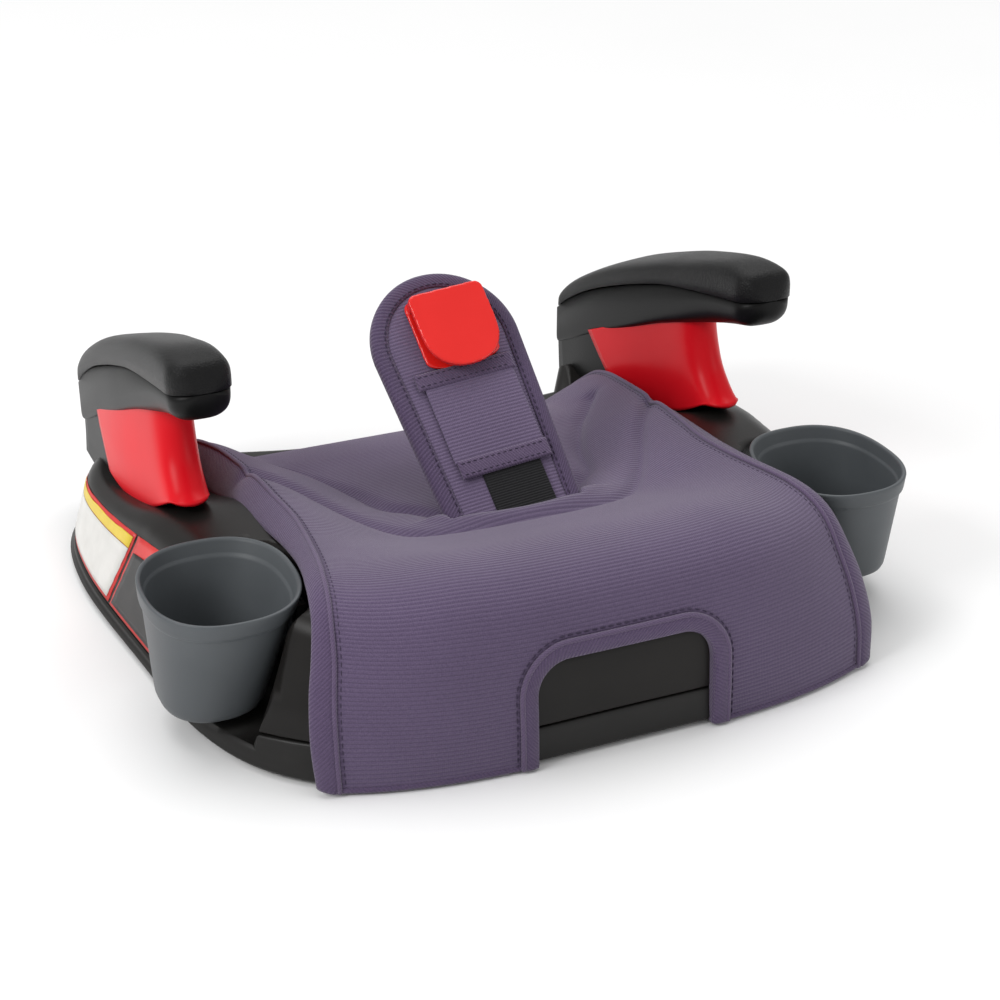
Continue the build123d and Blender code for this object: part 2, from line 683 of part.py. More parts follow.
with BuildPart() as anchor_webbing:
    with BuildSketch(Plane.YZ.offset(-WEBBING_WIDTH / 2)):
        with Locations((STRAP_PIVOT_Y, ANCHOR_Z)):
            Circle(PIN_RADIUS + 0.1 + WEBBING_THICKNESS)
        with Locations((STRAP_PIVOT_Y, ANCHOR_Z + 18)):
            Rectangle(2 * WEBBING_THICKNESS, 30)
        with Locations((STRAP_PIVOT_Y, ANCHOR_Z)):
            Circle(PIN_RADIUS + 0.1, mode=Mode.SUBTRACT)
    extrude(amount=WEBBING_WIDTH)
save("anchor_webbing", anchor_webbing.part)
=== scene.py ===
"""Backless booster seat: the looks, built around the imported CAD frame."""
import math

import bpy
import bmesh
import numpy as np
from mathutils import Matrix, Vector


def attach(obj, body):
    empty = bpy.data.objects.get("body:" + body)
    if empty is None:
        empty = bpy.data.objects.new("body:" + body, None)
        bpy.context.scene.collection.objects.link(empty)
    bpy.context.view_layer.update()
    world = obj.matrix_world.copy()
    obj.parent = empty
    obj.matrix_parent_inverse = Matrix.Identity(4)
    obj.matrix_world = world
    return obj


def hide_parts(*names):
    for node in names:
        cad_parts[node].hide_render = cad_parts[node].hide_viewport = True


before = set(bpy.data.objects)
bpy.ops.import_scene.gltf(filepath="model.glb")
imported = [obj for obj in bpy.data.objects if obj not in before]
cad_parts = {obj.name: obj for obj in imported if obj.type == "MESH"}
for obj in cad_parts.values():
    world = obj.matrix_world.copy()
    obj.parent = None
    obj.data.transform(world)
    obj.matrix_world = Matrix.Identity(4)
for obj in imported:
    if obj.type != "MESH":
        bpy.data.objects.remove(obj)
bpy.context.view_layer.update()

MM = 0.001

# ------------------------------------------------------------------ curves, in millimetres
# side view of the seat: centre line from the front hem, over the crest, to the rear hem
CENTRE_LINE = [(-210.5, 2), (-209.5, 25), (-207.5, 50), (-203.5, 72), (-194, 91), (-180, 100.5),
               (-163, 103), (-140, 100), (-110, 90), (-80, 80), (-53, 75), (-15, 70), (20, 66),
               (60, 62), (86, 59), (110, 53), (130, 45), (150, 35), (161, 28.5), (168, 23)]
# the seam between the quilted panel and the side facing, as (x, y, z), row for row
SIDE_SEAM = [(160.5, -190.8, 2), (160.5, -187.5, 27), (158, -179.5, 50), (153.5, -169.5, 70),
             (150.5, -158, 85), (147.5, -144, 93), (144.5, -127, 95.5), (141.5, -110, 95),
             (138.5, -90, 93), (136, -70, 91), (134, -43, 89), (135.5, -12, 87.5), (137, 20, 86),
             (139, 55, 81), (141, 84, 76.5), (144, 110, 70.5), (145, 130, 63), (145, 150, 50),
             (144.5, 166, 38), (144, 176, 28)]
# the outer edge of the facing, where it meets the moulded shoulder
SIDE_EDGE = [(172, -186, 5), (173, -181.8, 29), (170, -173, 52), (165, -164, 70), (160.5, -153, 84.5),
             (157.5, -141, 91), (154.5, -126, 93), (151.5, -110, 92.5), (149.5, -92, 90.5),
             (148.8, -70, 87.5), (149.5, -43, 83.5), (150.5, -12, 79), (151, 20, 72.5), (151, 55, 59.5),
             (151, 84, 51), (150.5, 110, 43.5), (149.5, 130, 40), (148.5, 150, 37), (148, 166, 31),
             (147.5, 176, 25)]

ARM_UNDER = [(-38, 157), (0, 146), (63, 124), (104, 106), (150, 85), (185, 67), (211, 55)]
ARM_SEAM = [(-40, 174), (-8, 168), (54, 155), (92, 143), (126, 130), (158, 116), (189, 99), (211, 84)]
ARM_TOP = [(-40, 190), (-15, 191.5), (12, 187.5), (56, 175.5), (95, 162), (134, 147), (165, 132),
           (192, 116), (211, 98)]
FLOOR_OUTLINE = [(0, -207), (90, -205), (148, -190), (189, -157), (212, -105), (222, -30),
                 (233, 80), (223, 152), (186, 195), (130, 197), (60, 179), (0, 175)]
LEAN_OUTLINE = [(0, -199), (88, -197), (137, -173), (170, -136), (188, -92), (195, -25),
                (203, 80), (200, 148), (176, 189), (128, 190), (60, 172), (0, 168)]
LEAN_HEIGHT = 80.0
TRAY_TOP = 23.0
SPLINE_STEPS = 24


def smooth(edge0, edge1, value):
    """Smooth step from 0 at edge0 to 1 at edge1."""
    t = np.clip((np.asarray(value, float) - edge0) / (edge1 - edge0), 0, 1)
    return t * t * (3 - 2 * t)


def run_along(points):
    """Distance along a chain of points, from its first point to each of them."""
    return np.concatenate([[0], np.cumsum(np.linalg.norm(np.diff(points, axis=0), axis=1))])


def evenly(points, count, endpoint=True):
    """Evenly spaced points along a chain."""
    run = run_along(points)
    want = np.linspace(0, run[-1], count, endpoint=endpoint)
    return np.stack([np.interp(want, run, points[:, k]) for k in range(points.shape[1])], axis=1)


def catmull_rom(controls, steps):
    """Points of a Catmull-Rom curve, between the second control and the last but one."""
    fine = []
    for i in range(1, len(controls) - 2):
        a, b, c, d = controls[i - 1:i + 3]
        for t in np.linspace(0, 1, steps, endpoint=False):
            fine.append(0.5 * (2 * b + (c - a) * t + (2 * a - 5 * b + 4 * c - d) * t ** 2
                               + (3 * b - a - 3 * c + d) * t ** 3))
    return fine


def spline(points, count):
    """Evenly spaced samples of a Catmull-Rom curve through the points."""
    pts = np.array(points, float)
    controls = np.vstack([2 * pts[0] - pts[1], pts, 2 * pts[-1] - pts[-2]])
    return evenly(np.array(catmull_rom(controls, SPLINE_STEPS) + [pts[-1]]), count)


FINE_CURVES = {}


def curve_at(points, value):
    """Height of a side-view curve of (y, z) points at y."""
    key = tuple(points)
    if key not in FINE_CURVES:
        FINE_CURVES[key] = spline(points, 200)
    fine = FINE_CURVES[key]
    return np.interp(value, fine[:, 0], fine[:, 1])


# ------------------------------------------------------------------ mesh building
def make_object(name, verts, faces, material, uvs=None, smooth_shading=True):
    """Mesh object from millimetre points; uvs is one (u, v) pair in metres for each vertex."""
    mesh = bpy.data.meshes.new(name)
    mesh.from_pydata([tuple(float(c) * MM for c in v) for v in verts], [], [tuple(f) for f in faces])
    mesh.validate()
    if uvs is not None:
        layer = mesh.uv_layers.new(name="cloth")
        for loop in mesh.loops:
            layer.data[loop.index].uv = uvs[loop.vertex_index]
    bm = bmesh.new()
    bm.from_mesh(mesh)
    bmesh.ops.recalc_face_normals(bm, faces=bm.faces)
    bm.to_mesh(mesh)
    bm.free()
    for polygon in mesh.polygons:
        polygon.use_smooth = smooth_shading
    mesh.materials.append(material)
    obj = bpy.data.objects.new(name, mesh)
    bpy.context.scene.collection.objects.link(obj)
    return obj


def grid_faces(rows, columns, close_columns=False, close_rows=False, start=0):
    """Quads of a grid of rows x columns points."""
    faces = []
    for r in range(rows if close_rows else rows - 1):
        for c in range(columns if close_columns else columns - 1):
            r2 = (r + 1) % rows
            c2 = (c + 1) % columns
            faces.append((start + r * columns + c, start + r * columns + c2,
                          start + r2 * columns + c2, start + r2 * columns + c))
    return faces


def end_caps(rows, columns, flip_first=False):
    """The two faces that close a loft of rows x columns points."""
    first = range(columns)
    return [tuple(reversed(first)) if flip_first else tuple(first),
            tuple(range((rows - 1) * columns, rows * columns))]


def grid_normals(points):
    """Unit normals of a grid of points."""
    normal = np.cross(np.gradient(points, axis=1), np.gradient(points, axis=0))
    return normal / (np.linalg.norm(normal, axis=2, keepdims=True) + 1e-9)


def modified(obj):
    """Applies an object's modifiers."""
    graph = bpy.context.evaluated_depsgraph_get()
    mesh = bpy.data.meshes.new_from_object(obj.evaluated_get(graph), preserve_all_data_layers=True,
                                           depsgraph=graph)
    obj.modifiers.clear()
    obj.data = mesh
    return obj


def cut(obj, tool):
    """Cuts the tool's solid out of obj and removes the tool."""
    boolean = obj.modifiers.new("cut", "BOOLEAN")
    boolean.operation = "DIFFERENCE"
    boolean.solver = "EXACT"
    boolean.object = tool
    modified(obj)
    bpy.data.objects.remove(tool)
    return obj


def tube(name, path, radius, material, sides=8, closed=False, flatten=1.0, normal=None):
    """Round or flattened cord along a path of millimetre points."""
    pts = np.array(path, float)
    count = len(pts)
    verts, uvs = [], []
    run = run_along(pts)
    for i in range(count):
        before = pts[i - 1] if (i or closed) else pts[i]
        after = pts[(i + 1) % count] if (i < count - 1 or closed) else pts[i]
        along = after - before
        along = along / (np.linalg.norm(along) + 1e-9)
        up = np.array(normal[i] if normal is not None else (0, 0, 1.0), float)
        side = np.cross(along, up)
        if np.linalg.norm(side) < 1e-3:
            side = np.cross(along, (1.0, 0, 0))
        side = side / np.linalg.norm(side)
        up = np.cross(side, along)
        for k in range(sides):
            turn = 2 * math.pi * k / sides
            verts.append(pts[i] + side * radius * math.cos(turn) + up * radius * flatten * math.sin(turn))
            uvs.append((run[i] * MM, radius * turn * MM))
    faces = grid_faces(count, sides, close_columns=True, close_rows=closed)
    if not closed:
        faces += end_caps(count, sides)
    return make_object(name, verts, faces, material, uvs)


def tape(name, edge_a, edge_b, thickness, material, bulge=0.0, closed=False, out=None):
    """Flat tape between two edges of equal length, with rounded sides."""
    a = np.array(edge_a, float)
    b = np.array(edge_b, float)
    count = len(a)
    middle = (a + b) / 2
    run = run_along(middle)
    profile = [(-0.5, 0.0), (-0.47, 0.7), (-0.38, 1.0), (-0.2, 1.08), (0, 1.1), (0.2, 1.08),
               (0.38, 1.0), (0.47, 0.7), (0.5, 0.0), (0.45, -0.5), (0.3, -0.6), (0, -0.6), (-0.3, -0.6),
               (-0.45, -0.5)]
    verts, uvs = [], []
    for i in range(count):
        after = middle[(i + 1) % count] if (i < count - 1 or closed) else middle[i]
        before = middle[i - 1] if (i or closed) else middle[i]
        along = after - before
        across = b[i] - a[i]
        width = np.linalg.norm(across)
        up = np.cross(along, across)
        up = up / (np.linalg.norm(up) + 1e-9)
        if out is not None and np.dot(up, out[i]) < 0:
            up = -up
        for s, h in profile:
            lift = h * thickness / 2 + (bulge * (1 - 4 * s * s) if h > 0 else 0)
            verts.append(middle[i] + across * s + up * lift)
            uvs.append((run[i] * MM, s * width * MM))
    columns = len(profile)
    faces = grid_faces(count, columns, close_columns=True, close_rows=closed)
    if not closed:
        faces += end_caps(count, columns)
    return make_object(name, verts, faces, material, uvs)


def stitches(name, path, normals, material, length=2.6, gap=1.4, radius=0.33, lift=0.15, body="seat"):
    """Row of short thread stitches lying along a path."""
    pts = np.array(path, float)
    ups = np.array(normals, float)
    run = run_along(pts)
    verts, faces = [], []
    here = 0.5
    while here + length < run[-1]:
        ring_start = len(verts)
        for share, width in ((0, 0.45), (0.15, 0.95), (0.5, 1.1), (0.85, 0.95), (1, 0.45)):
            at = here + share * length
            point = np.array([np.interp(at, run, pts[:, k]) for k in range(3)])
            ahead = np.array([np.interp(at + 0.5, run, pts[:, k]) for k in range(3)])
            up = np.array([np.interp(at, run, ups[:, k]) for k in range(3)])
            up = up / (np.linalg.norm(up) + 1e-9)
            along = (ahead - point) / (np.linalg.norm(ahead - point) + 1e-9)
            side = np.cross(along, up)
            point = point + up * (lift + 0.25 * math.sin(math.pi * share) - 0.2)
            for k in range(6):
                turn = math.pi * k / 3
                verts.append(point + radius * width * (side * math.cos(turn) + up * math.sin(turn)))
        for r in range(4):
            for k in range(6):
                a = ring_start + r * 6 + k
                b = ring_start + r * 6 + (k + 1) % 6
                faces.append((a, b, b + 6, a + 6))
        faces.append(tuple(ring_start + k for k in range(6)))
        faces.append(tuple(ring_start + 24 + k for k in range(6)))
        here += length + gap
    obj = make_object(name, verts, faces, material)
    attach(obj, body)
    return obj


# ------------------------------------------------------------------ materials
def new_material(name):
    """Node material with a Principled shader; returns the material, its tree and the shader."""
    material = bpy.data.materials.new(name)
    material.use_nodes = True
    tree = material.node_tree
    tree.nodes.clear()
    output = tree.nodes.new("ShaderNodeOutputMaterial")
    shader = tree.nodes.new("ShaderNodeBsdfPrincipled")
    tree.links.new(shader.outputs["BSDF"], output.inputs["Surface"])
    return material, tree, shader


def coordinates(tree, source, rotation=0.0, stretch=(1, 1, 1)):
    """Mapped texture coordinates: "UV" or "Object"."""
    origin = tree.nodes.new("ShaderNodeTexCoord")
    mapping = tree.nodes.new("ShaderNodeMapping")
    mapping.inputs["Rotation"].default_value = (0, 0, rotation)
    mapping.inputs["Scale"].default_value = stretch
    tree.links.new(origin.outputs[source], mapping.inputs["Vector"])
    return mapping.outputs["Vector"]


def noise(tree, vector, scale, detail=3.0, rough=0.55):
    """Noise texture factor."""
    node = tree.nodes.new("ShaderNodeTexNoise")
    node.inputs["Scale"].default_value = scale
    node.inputs["Detail"].default_value = detail
    node.inputs["Roughness"].default_value = rough
    tree.links.new(vector, node.inputs["Vector"])
    return node.outputs["Fac"]


def ridges(tree, vector, pitch, direction="Y", distortion=0.0):
    """Soft ridges with the given pitch in metres."""
    node = tree.nodes.new("ShaderNodeTexWave")
    node.wave_type = "BANDS"
    node.bands_direction = direction
    node.inputs["Scale"].default_value = math.pi / 10 / pitch
    node.inputs["Distortion"].default_value = distortion
    node.inputs["Detail"].default_value = 1.0
    tree.links.new(vector, node.inputs["Vector"])
    return node.outputs["Fac"]


def ramp(tree, factor, low, high, start=0.0, end=1.0):
    """Colour ramp between two colours."""
    node = tree.nodes.new("ShaderNodeValToRGB")
    node.color_ramp.elements[0].position = start
    node.color_ramp.elements[0].color = (*low, 1)
    node.color_ramp.elements[1].position = end
    node.color_ramp.elements[1].color = (*high, 1)
    tree.links.new(factor, node.inputs["Fac"])
    return node.outputs["Color"]


def math_node(tree, operation, first, second):
    """Arithmetic on two factors or numbers."""
    node = tree.nodes.new("ShaderNodeMath")
    node.operation = operation
    for socket, value in zip(node.inputs, (first, second)):
        if isinstance(value, (int, float)):
            socket.default_value = value
        else:
            tree.links.new(value, socket)
    return node.outputs[0]


def bump(tree, shader, height, strength, distance):
    """Feeds a height into the shader's normal."""
    node = tree.nodes.new("ShaderNodeBump")
    node.inputs["Strength"].default_value = strength
    node.inputs["Distance"].default_value = distance
    tree.links.new(height, node.inputs["Height"])
    tree.links.new(node.outputs["Normal"], shader.inputs["Normal"])


def multiply(tree, first, second, share=1.0):
    """Multiplies two colours."""
    node = tree.nodes.new("ShaderNodeMixRGB")
    node.blend_type = "MULTIPLY"
    node.inputs["Fac"].default_value = share
    tree.links.new(first, node.inputs["Color1"])
    tree.links.new(second, node.inputs["Color2"])
    return node.outputs["Color"]


def rib_cloth(name, dark, light, pitch, stitch_pitch=0.0011, rotation=0.0, depth=0.0005, sheen=0.25):
    """Ribbed knit in a heather of two colours, with painted shade darkening the grooves between the ribs;
    the ribs run along U.
    """
    material, tree, shader = new_material(name)
    cloth = coordinates(tree, "UV", rotation)
    body = coordinates(tree, "Object")
    ribs = ridges(tree, cloth, pitch, "Y", 0.25)
    loops = ridges(tree, cloth, stitch_pitch, "X", 0.4)
    fibre = noise(tree, body, 1600, 3.0, 0.7)
    patches = noise(tree, body, 9, 2.0)
    colour = ramp(tree, fibre, dark, light, 0.3, 0.72)
    # painted shade: the colour is darkened in the grooves between the ribs
    rib_groove_shade = ramp(tree, ribs, (0.78, 0.78, 0.78), (1, 1, 1), 0.0, 0.35)
    worn = ramp(tree, patches, (0.9, 0.9, 0.9), (1, 1, 1), 0.35, 0.65)
    colour = multiply(tree, multiply(tree, colour, rib_groove_shade), worn)
    tree.links.new(colour, shader.inputs["Base Color"])
    height = math_node(tree, "ADD", ribs, math_node(tree, "MULTIPLY", loops, 0.25))
    height = math_node(tree, "ADD", height, math_node(tree, "MULTIPLY", fibre, 0.5))
    bump(tree, shader, height, 0.55, depth)
    shader.inputs["Roughness"].default_value = 0.85
    shader.inputs["Sheen Weight"].default_value = sheen
    shader.inputs["Sheen Roughness"].default_value = 0.5
    shader.inputs["Specular IOR Level"].default_value = 0.25
    return material


def plastic(name, dark, light, roughness, grain=1400, strength=0.12, coat=0.0, worn=0.06, specular=0.3):
    """Moulded plastic with a fine texture and slightly uneven gloss."""
    material, tree, shader = new_material(name)
    body = coordinates(tree, "Object")
    fine = noise(tree, body, grain, 4.0, 0.6)
    broad = noise(tree, body, 14, 3.0)
    tree.links.new(ramp(tree, broad, dark, light, 0.35, 0.68), shader.inputs["Base Color"])
    gloss = math_node(tree, "ADD", math_node(tree, "MULTIPLY", broad, worn), roughness - worn / 2)
    tree.links.new(gloss, shader.inputs["Roughness"])
    bump(tree, shader, fine, strength, 0.0002)
    shader.inputs["Specular IOR Level"].default_value = specular
    shader.inputs["Coat Weight"].default_value = coat
    shader.inputs["Coat Roughness"].default_value = 0.12
    return material


def leather(name, dark, light, roughness):
    """Soft-touch skin with a fine leather grain."""
    material, tree, shader = new_material(name)
    body = coordinates(tree, "Object")
    cells = tree.nodes.new("ShaderNodeTexVoronoi")
    cells.feature = "DISTANCE_TO_EDGE"
    cells.inputs["Scale"].default_value = 620
    tree.links.new(body, cells.inputs["Vector"])
    creases = ramp(tree, cells.outputs["Distance"], (0, 0, 0), (1, 1, 1), 0.0, 0.22)
    fine = noise(tree, body, 1900, 3.0)
    broad = noise(tree, body, 18, 2.0)
    tree.links.new(ramp(tree, broad, dark, light, 0.3, 0.7), shader.inputs["Base Color"])
    height = math_node(tree, "ADD", creases, math_node(tree, "MULTIPLY", fine, 0.5))
    bump(tree, shader, height, 0.5, 0.00025)
    gloss = math_node(tree, "ADD", math_node(tree, "MULTIPLY", fine, 0.12), roughness)
    tree.links.new(gloss, shader.inputs["Roughness"])
    shader.inputs["Specular IOR Level"].default_value = 0.13
    return material


def metal(name, colour, roughness):
    """Zinc-plated steel."""
    material, tree, shader = new_material(name)
    body = coordinates(tree, "Object", 0, (1, 1, 12))
    streaks = noise(tree, body, 240, 3.0)
    tree.links.new(ramp(tree, streaks, tuple(0.8 * c for c in colour), colour), shader.inputs["Base Color"])
    tree.links.new(math_node(tree, "ADD", math_node(tree, "MULTIPLY", streaks, 0.2), roughness),
                   shader.inputs["Roughness"])
    shader.inputs["Metallic"].default_value = 1.0
    return material


def printed(name, low, high, roughness=0.4):
    """Printed label film, with the faint unevenness of a sticker."""
    material, tree, shader = new_material(name)
    body = coordinates(tree, "Object")
    broad = noise(tree, body, 60, 2.0)
    tree.links.new(ramp(tree, broad, low, high, 0.3, 0.7), shader.inputs["Base Color"])
    bump(tree, shader, noise(tree, body, 500, 2.0), 0.08, 0.0002)
    shader.inputs["Roughness"].default_value = roughness
    return material


COVER = rib_cloth("cover_knit", (0.08, 0.055, 0.114), (0.147, 0.108, 0.19), 0.0024)
TWILL = rib_cloth("binding_twill", (0.068, 0.044, 0.102), (0.14, 0.098, 0.18), 0.0017, 0.0006,
                  math.radians(45), 0.0005)
PIPING = rib_cloth("piping_cord", (0.09, 0.06, 0.125), (0.16, 0.115, 0.2), 0.0012, 0.0012, math.radians(38),
                   0.0003)
STRAP_KNIT = rib_cloth("strap_knit", (0.115, 0.082, 0.16), (0.205, 0.155, 0.255), 0.0022)
BAND_TWILL = rib_cloth("band_twill", (0.09, 0.06, 0.125), (0.17, 0.12, 0.21), 0.0016, 0.0006,
                       math.radians(60), 0.0005)
THREAD = plastic("thread", (0.03, 0.02, 0.045), (0.05, 0.035, 0.07), 0.6, 2500, 0.3)
WEBBING = rib_cloth("black_webbing", (0.008, 0.008, 0.009), (0.022, 0.022, 0.024), 0.0016, 0.0009, 0.0,
                    0.0006, 0.1)
SHELL = plastic("shell_plastic", (0.009, 0.008, 0.0075), (0.0135, 0.012, 0.011), 0.36, 1500, 0.25,
                worn=0.08, specular=0.2)
TRAY = plastic("tray_plastic", (0.009, 0.0085, 0.008), (0.013, 0.012, 0.0112), 0.4, 1300, 0.3)
ARM_PLASTIC = plastic("arm_plastic", (0.004, 0.004, 0.004), (0.007, 0.007, 0.007), 0.4, 1100, 0.35,
                      specular=0.15)
ARM_SKIN = leather("arm_skin", (0.008, 0.008, 0.0083), (0.013, 0.013, 0.0133), 0.3)
GUIDE_RED = plastic("guide_red", (0.74, 0.006, 0.014), (0.8, 0.009, 0.018), 0.33, 1600, 0.1,
                    specular=0.14)
CLIP_RED = plastic("clip_red", (0.80, 0.016, 0.012), (0.86, 0.02, 0.016), 0.24, 1800, 0.04, coat=0.4)
CUP_GREY = plastic("cup_grey", (0.082, 0.09, 0.097), (0.1, 0.11, 0.118), 0.45, 1500, 0.22)
FOAM = plastic("seat_foam_skin", (0.24, 0.24, 0.25), (0.34, 0.34, 0.35), 0.9, 500, 0.8)
RUBBER = plastic("foot_rubber", (0.01, 0.01, 0.01), (0.02, 0.02, 0.02), 0.75, 700, 0.5)
STEEL = metal("plated_steel", (0.62, 0.61, 0.58), 0.25)
LABEL_WHITE = printed("label_white", (0.66, 0.65, 0.62), (0.74, 0.73, 0.7))
LABEL_YELLOW = printed("label_yellow", (0.72, 0.52, 0.03), (0.8, 0.6, 0.05))
LABEL_RED = printed("label_red", (0.6, 0.02, 0.02), (0.7, 0.035, 0.03))
LABEL_BLACK = printed("label_black", (0.012, 0.012, 0.012), (0.02, 0.02, 0.02))


# ------------------------------------------------------------------ seat cover
control = np.array([(*middle, *seam, *edge)
                    for middle, seam, edge in zip(CENTRE_LINE, SIDE_SEAM, SIDE_EDGE)], float)
COVER_ROWS = 230
COVER_COLUMNS = 171
COVER_THICKNESS = 2.6
FOAM_THICKNESS, FOAM_BELOW_COVER = 13.0, 4.0
seat_rows = spline(control, COVER_ROWS)
shares = np.linspace(-1, 1, COVER_COLUMNS)

# sewn channels in plan, for the +X half; the other half mirrors them
BOWL_CHANNEL = [(122, 92), (110, 76), (95, 55), (79, 21), (68, -15), (55, -30), (44, -46)]
OUTER_CHANNEL = [(0, -79), (29, -78), (58, -73), (77, -60), (96, -31), (112, 0), (124, 18), (136, 34)]
SLOT_LIP = [(-44, -46), (-34, -55), (-18, -61), (4, -63), (24, -60), (38, -54), (46, -46)]


def along(points, count=120):
    """Plan channel as evenly spaced points."""
    return spline([(float(x), float(y)) for x, y in points], count)


def distance_to(points, x, y):
    """Distance from each (x, y) to a chain of points."""
    best = np.full(x.shape, 1e9)
    for px, py in points:
        best = np.minimum(best, (x - px) ** 2 + (y - py) ** 2)
    return np.sqrt(best)


def cover_base(row, share):
    """Point of the smooth seat surface at a row of seat_rows and a share across."""
    yc, zc, xb, yb, zb = row[:5]
    s = abs(share)
    x = xb * share
    y = yc + (yb - yc) * s ** 3.3
    z = zc + (zb - zc) * float(smooth(0.52 + 0.2 * float(smooth(30, 100, yc)), 1.0, s))
    return np.array([x, y, z])


def cover_relief(x, y):
    """Height of the padding above the smooth surface, in millimetres."""
    ax = np.abs(x)
    on_top = smooth(-195, -150, y)
    bowl = distance_to(along(BOWL_CHANNEL), ax, y)
    outer = distance_to(along(OUTER_CHANNEL), ax, y)
    relief = -3.4 * np.exp(-(bowl / 4.2) ** 2) - 3.0 * np.exp(-(outer / 4.4) ** 2)
    roll = np.clip(np.minimum(bowl, outer) / 17, 0, 1)
    relief = relief + 1.6 * np.sin(roll * math.pi / 2) * on_top
    lip = distance_to(along(SLOT_LIP), x, y)
    inside_slot = smooth(-64, -57, y) * (1 - smooth(-50, -40, y)) * (1 - smooth(36, 45, ax))
    relief = relief - 15 * inside_slot
    relief = relief + 3.2 * np.exp(-((lip - 7) / 8) ** 2) * (y < -52) * on_top
    return relief


base_points = np.array([[cover_base(row, share) for share in shares] for row in seat_rows])
row_step = np.gradient(base_points, axis=0)
column_step = np.gradient(base_points, axis=1)
base_normals = np.cross(column_step, row_step)
base_normals /= np.linalg.norm(base_normals, axis=2, keepdims=True)
relief = cover_relief(base_points[..., 0], base_points[..., 1])
cover_points = base_points + base_normals * relief[..., None]
cover_run = run_along(base_points[:, COVER_COLUMNS // 2])


def surface_at(x, row_place):
    """Point and normal of the finished cover at an x and a fractional row."""
    r0 = int(np.clip(math.floor(row_place), 0, COVER_ROWS - 2))
    t = row_place - r0
    found = []
    for r in (r0, r0 + 1):
        xs = cover_points[r, :, 0]
        found.append(np.array([np.interp(x, xs, cover_points[r, :, k]) for k in range(3)]
                              + [np.interp(x, xs, base_normals[r, :, k]) for k in range(3)]))
    mixed = found[0] * (1 - t) + found[1] * t
    return mixed[:3], mixed[3:] / np.linalg.norm(mixed[3:])


def front_at(x, z):
    """Point and normal of the cover's front at an x and a height."""
    low, high = 0.0, 60.0
    for _ in range(24):
        middle = (low + high) / 2
        if surface_at(x, middle)[0][2] < z:
            low = middle
        else:
            high = middle
    return surface_at(x, low)


CUTOUT_X, CUTOUT_Z, CUTOUT_RADIUS = 54.0, 64.0, 20.0


def cutout_path(grow, low=2.0, count=150):
    """(x, z) path round the opening, from its left foot to its right foot."""
    half = CUTOUT_X + grow
    top = CUTOUT_Z + grow
    radius = CUTOUT_RADIUS + grow
    path = [(-half, low), (-half, top - radius)]
    for step in range(1, 12):
        turn = math.pi * (1 - step / 24)
        path.append((-half + radius + radius * math.cos(turn), top - radius + radius * math.sin(turn)))
    path.append((-half + radius, top))
    path += [(-x, z) for x, z in reversed(path)]
    return evenly(np.array(path), count)


def in_cutout(x, z, grow):
    """True inside the opening's rounded outline."""
    half, top, radius = CUTOUT_X + grow, CUTOUT_Z + grow, CUTOUT_RADIUS + grow
    if abs(x) > half or z > top:
        return False
    dx, dz = abs(x) - (half - radius), z - (top - radius)
    return not (dx > 0 and dz > 0 and math.hypot(dx, dz) > radius)


def solid_sheet(name, points, normals, thickness, material, uvs, skip=None):
    """Closed sheet between a grid of points and the same grid moved inwards."""
    rows, columns = points.shape[:2]
    inner = points - normals * thickness
    verts = list(points.reshape(-1, 3)) + list(inner.reshape(-1, 3))
    shift = rows * columns
    kept = [f for f in grid_faces(rows, columns) if skip is None or not skip(verts[f[0]])]
    faces = list(kept) + [tuple(i + shift for i in reversed(f)) for f in kept]
    edges = {}
    for f in kept:
        for a, b in zip(f, f[1:] + f[:1]):
            edges[(a, b)] = edges.get((a, b), 0) + 1
    for (a, b) in edges:
        if (b, a) not in edges:
            faces.append((b, a, a + shift, b + shift))
    return make_object(name, verts, faces, material, list(uvs) * 2)


cover_uvs = [(base_points[r, c, 0] * MM, cover_run[r] * MM) for r in range(COVER_ROWS)
             for c in range(COVER_COLUMNS)]
cover = solid_sheet("seat_cover_quilted", cover_points, base_normals, COVER_THICKNESS, COVER, cover_uvs,
                    lambda p: p[1] < -150 and in_cutout(p[0], p[2], 3.0))
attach(cover, "seat")
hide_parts("seat_cover")

# foam block below the cover
foam_rows = slice(52, COVER_ROWS - 34, 3)
foam_columns = slice(9, COVER_COLUMNS - 9, 3)
foam_top = cover_points[foam_rows, foam_columns] - base_normals[foam_rows, foam_columns] * FOAM_BELOW_COVER
foam = solid_sheet("seat_foam_pad", foam_top, base_normals[foam_rows, foam_columns], FOAM_THICKNESS, FOAM,
                   [(p[0] * MM, p[1] * MM) for p in foam_top.reshape(-1, 3)])
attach(foam, "seat")
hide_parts("seat_foam")

# side facings: twill, with a piping cord and a row of stitches along the inner seam
def facing_rows(sign, crown, profile):
    """Grid of the side facing, from the seam to its outer edge, bulged outwards."""
    grid = []
    for r in range(COVER_ROWS):
        seam = cover_points[r, 0 if sign < 0 else -1]
        edge = seam_to_edge[r] * np.array([sign, 1, 1])
        across = edge - seam
        normal = base_normals[r, 0 if sign < 0 else -1]
        out = normal + np.array([sign * 0.9, 0, 0])
        out = out - across * np.dot(out, across) / np.dot(across, across)
        out = out / np.linalg.norm(out)
        grid.append([seam + across * t + out * crown * h for t, h in profile])
    return np.array(grid)


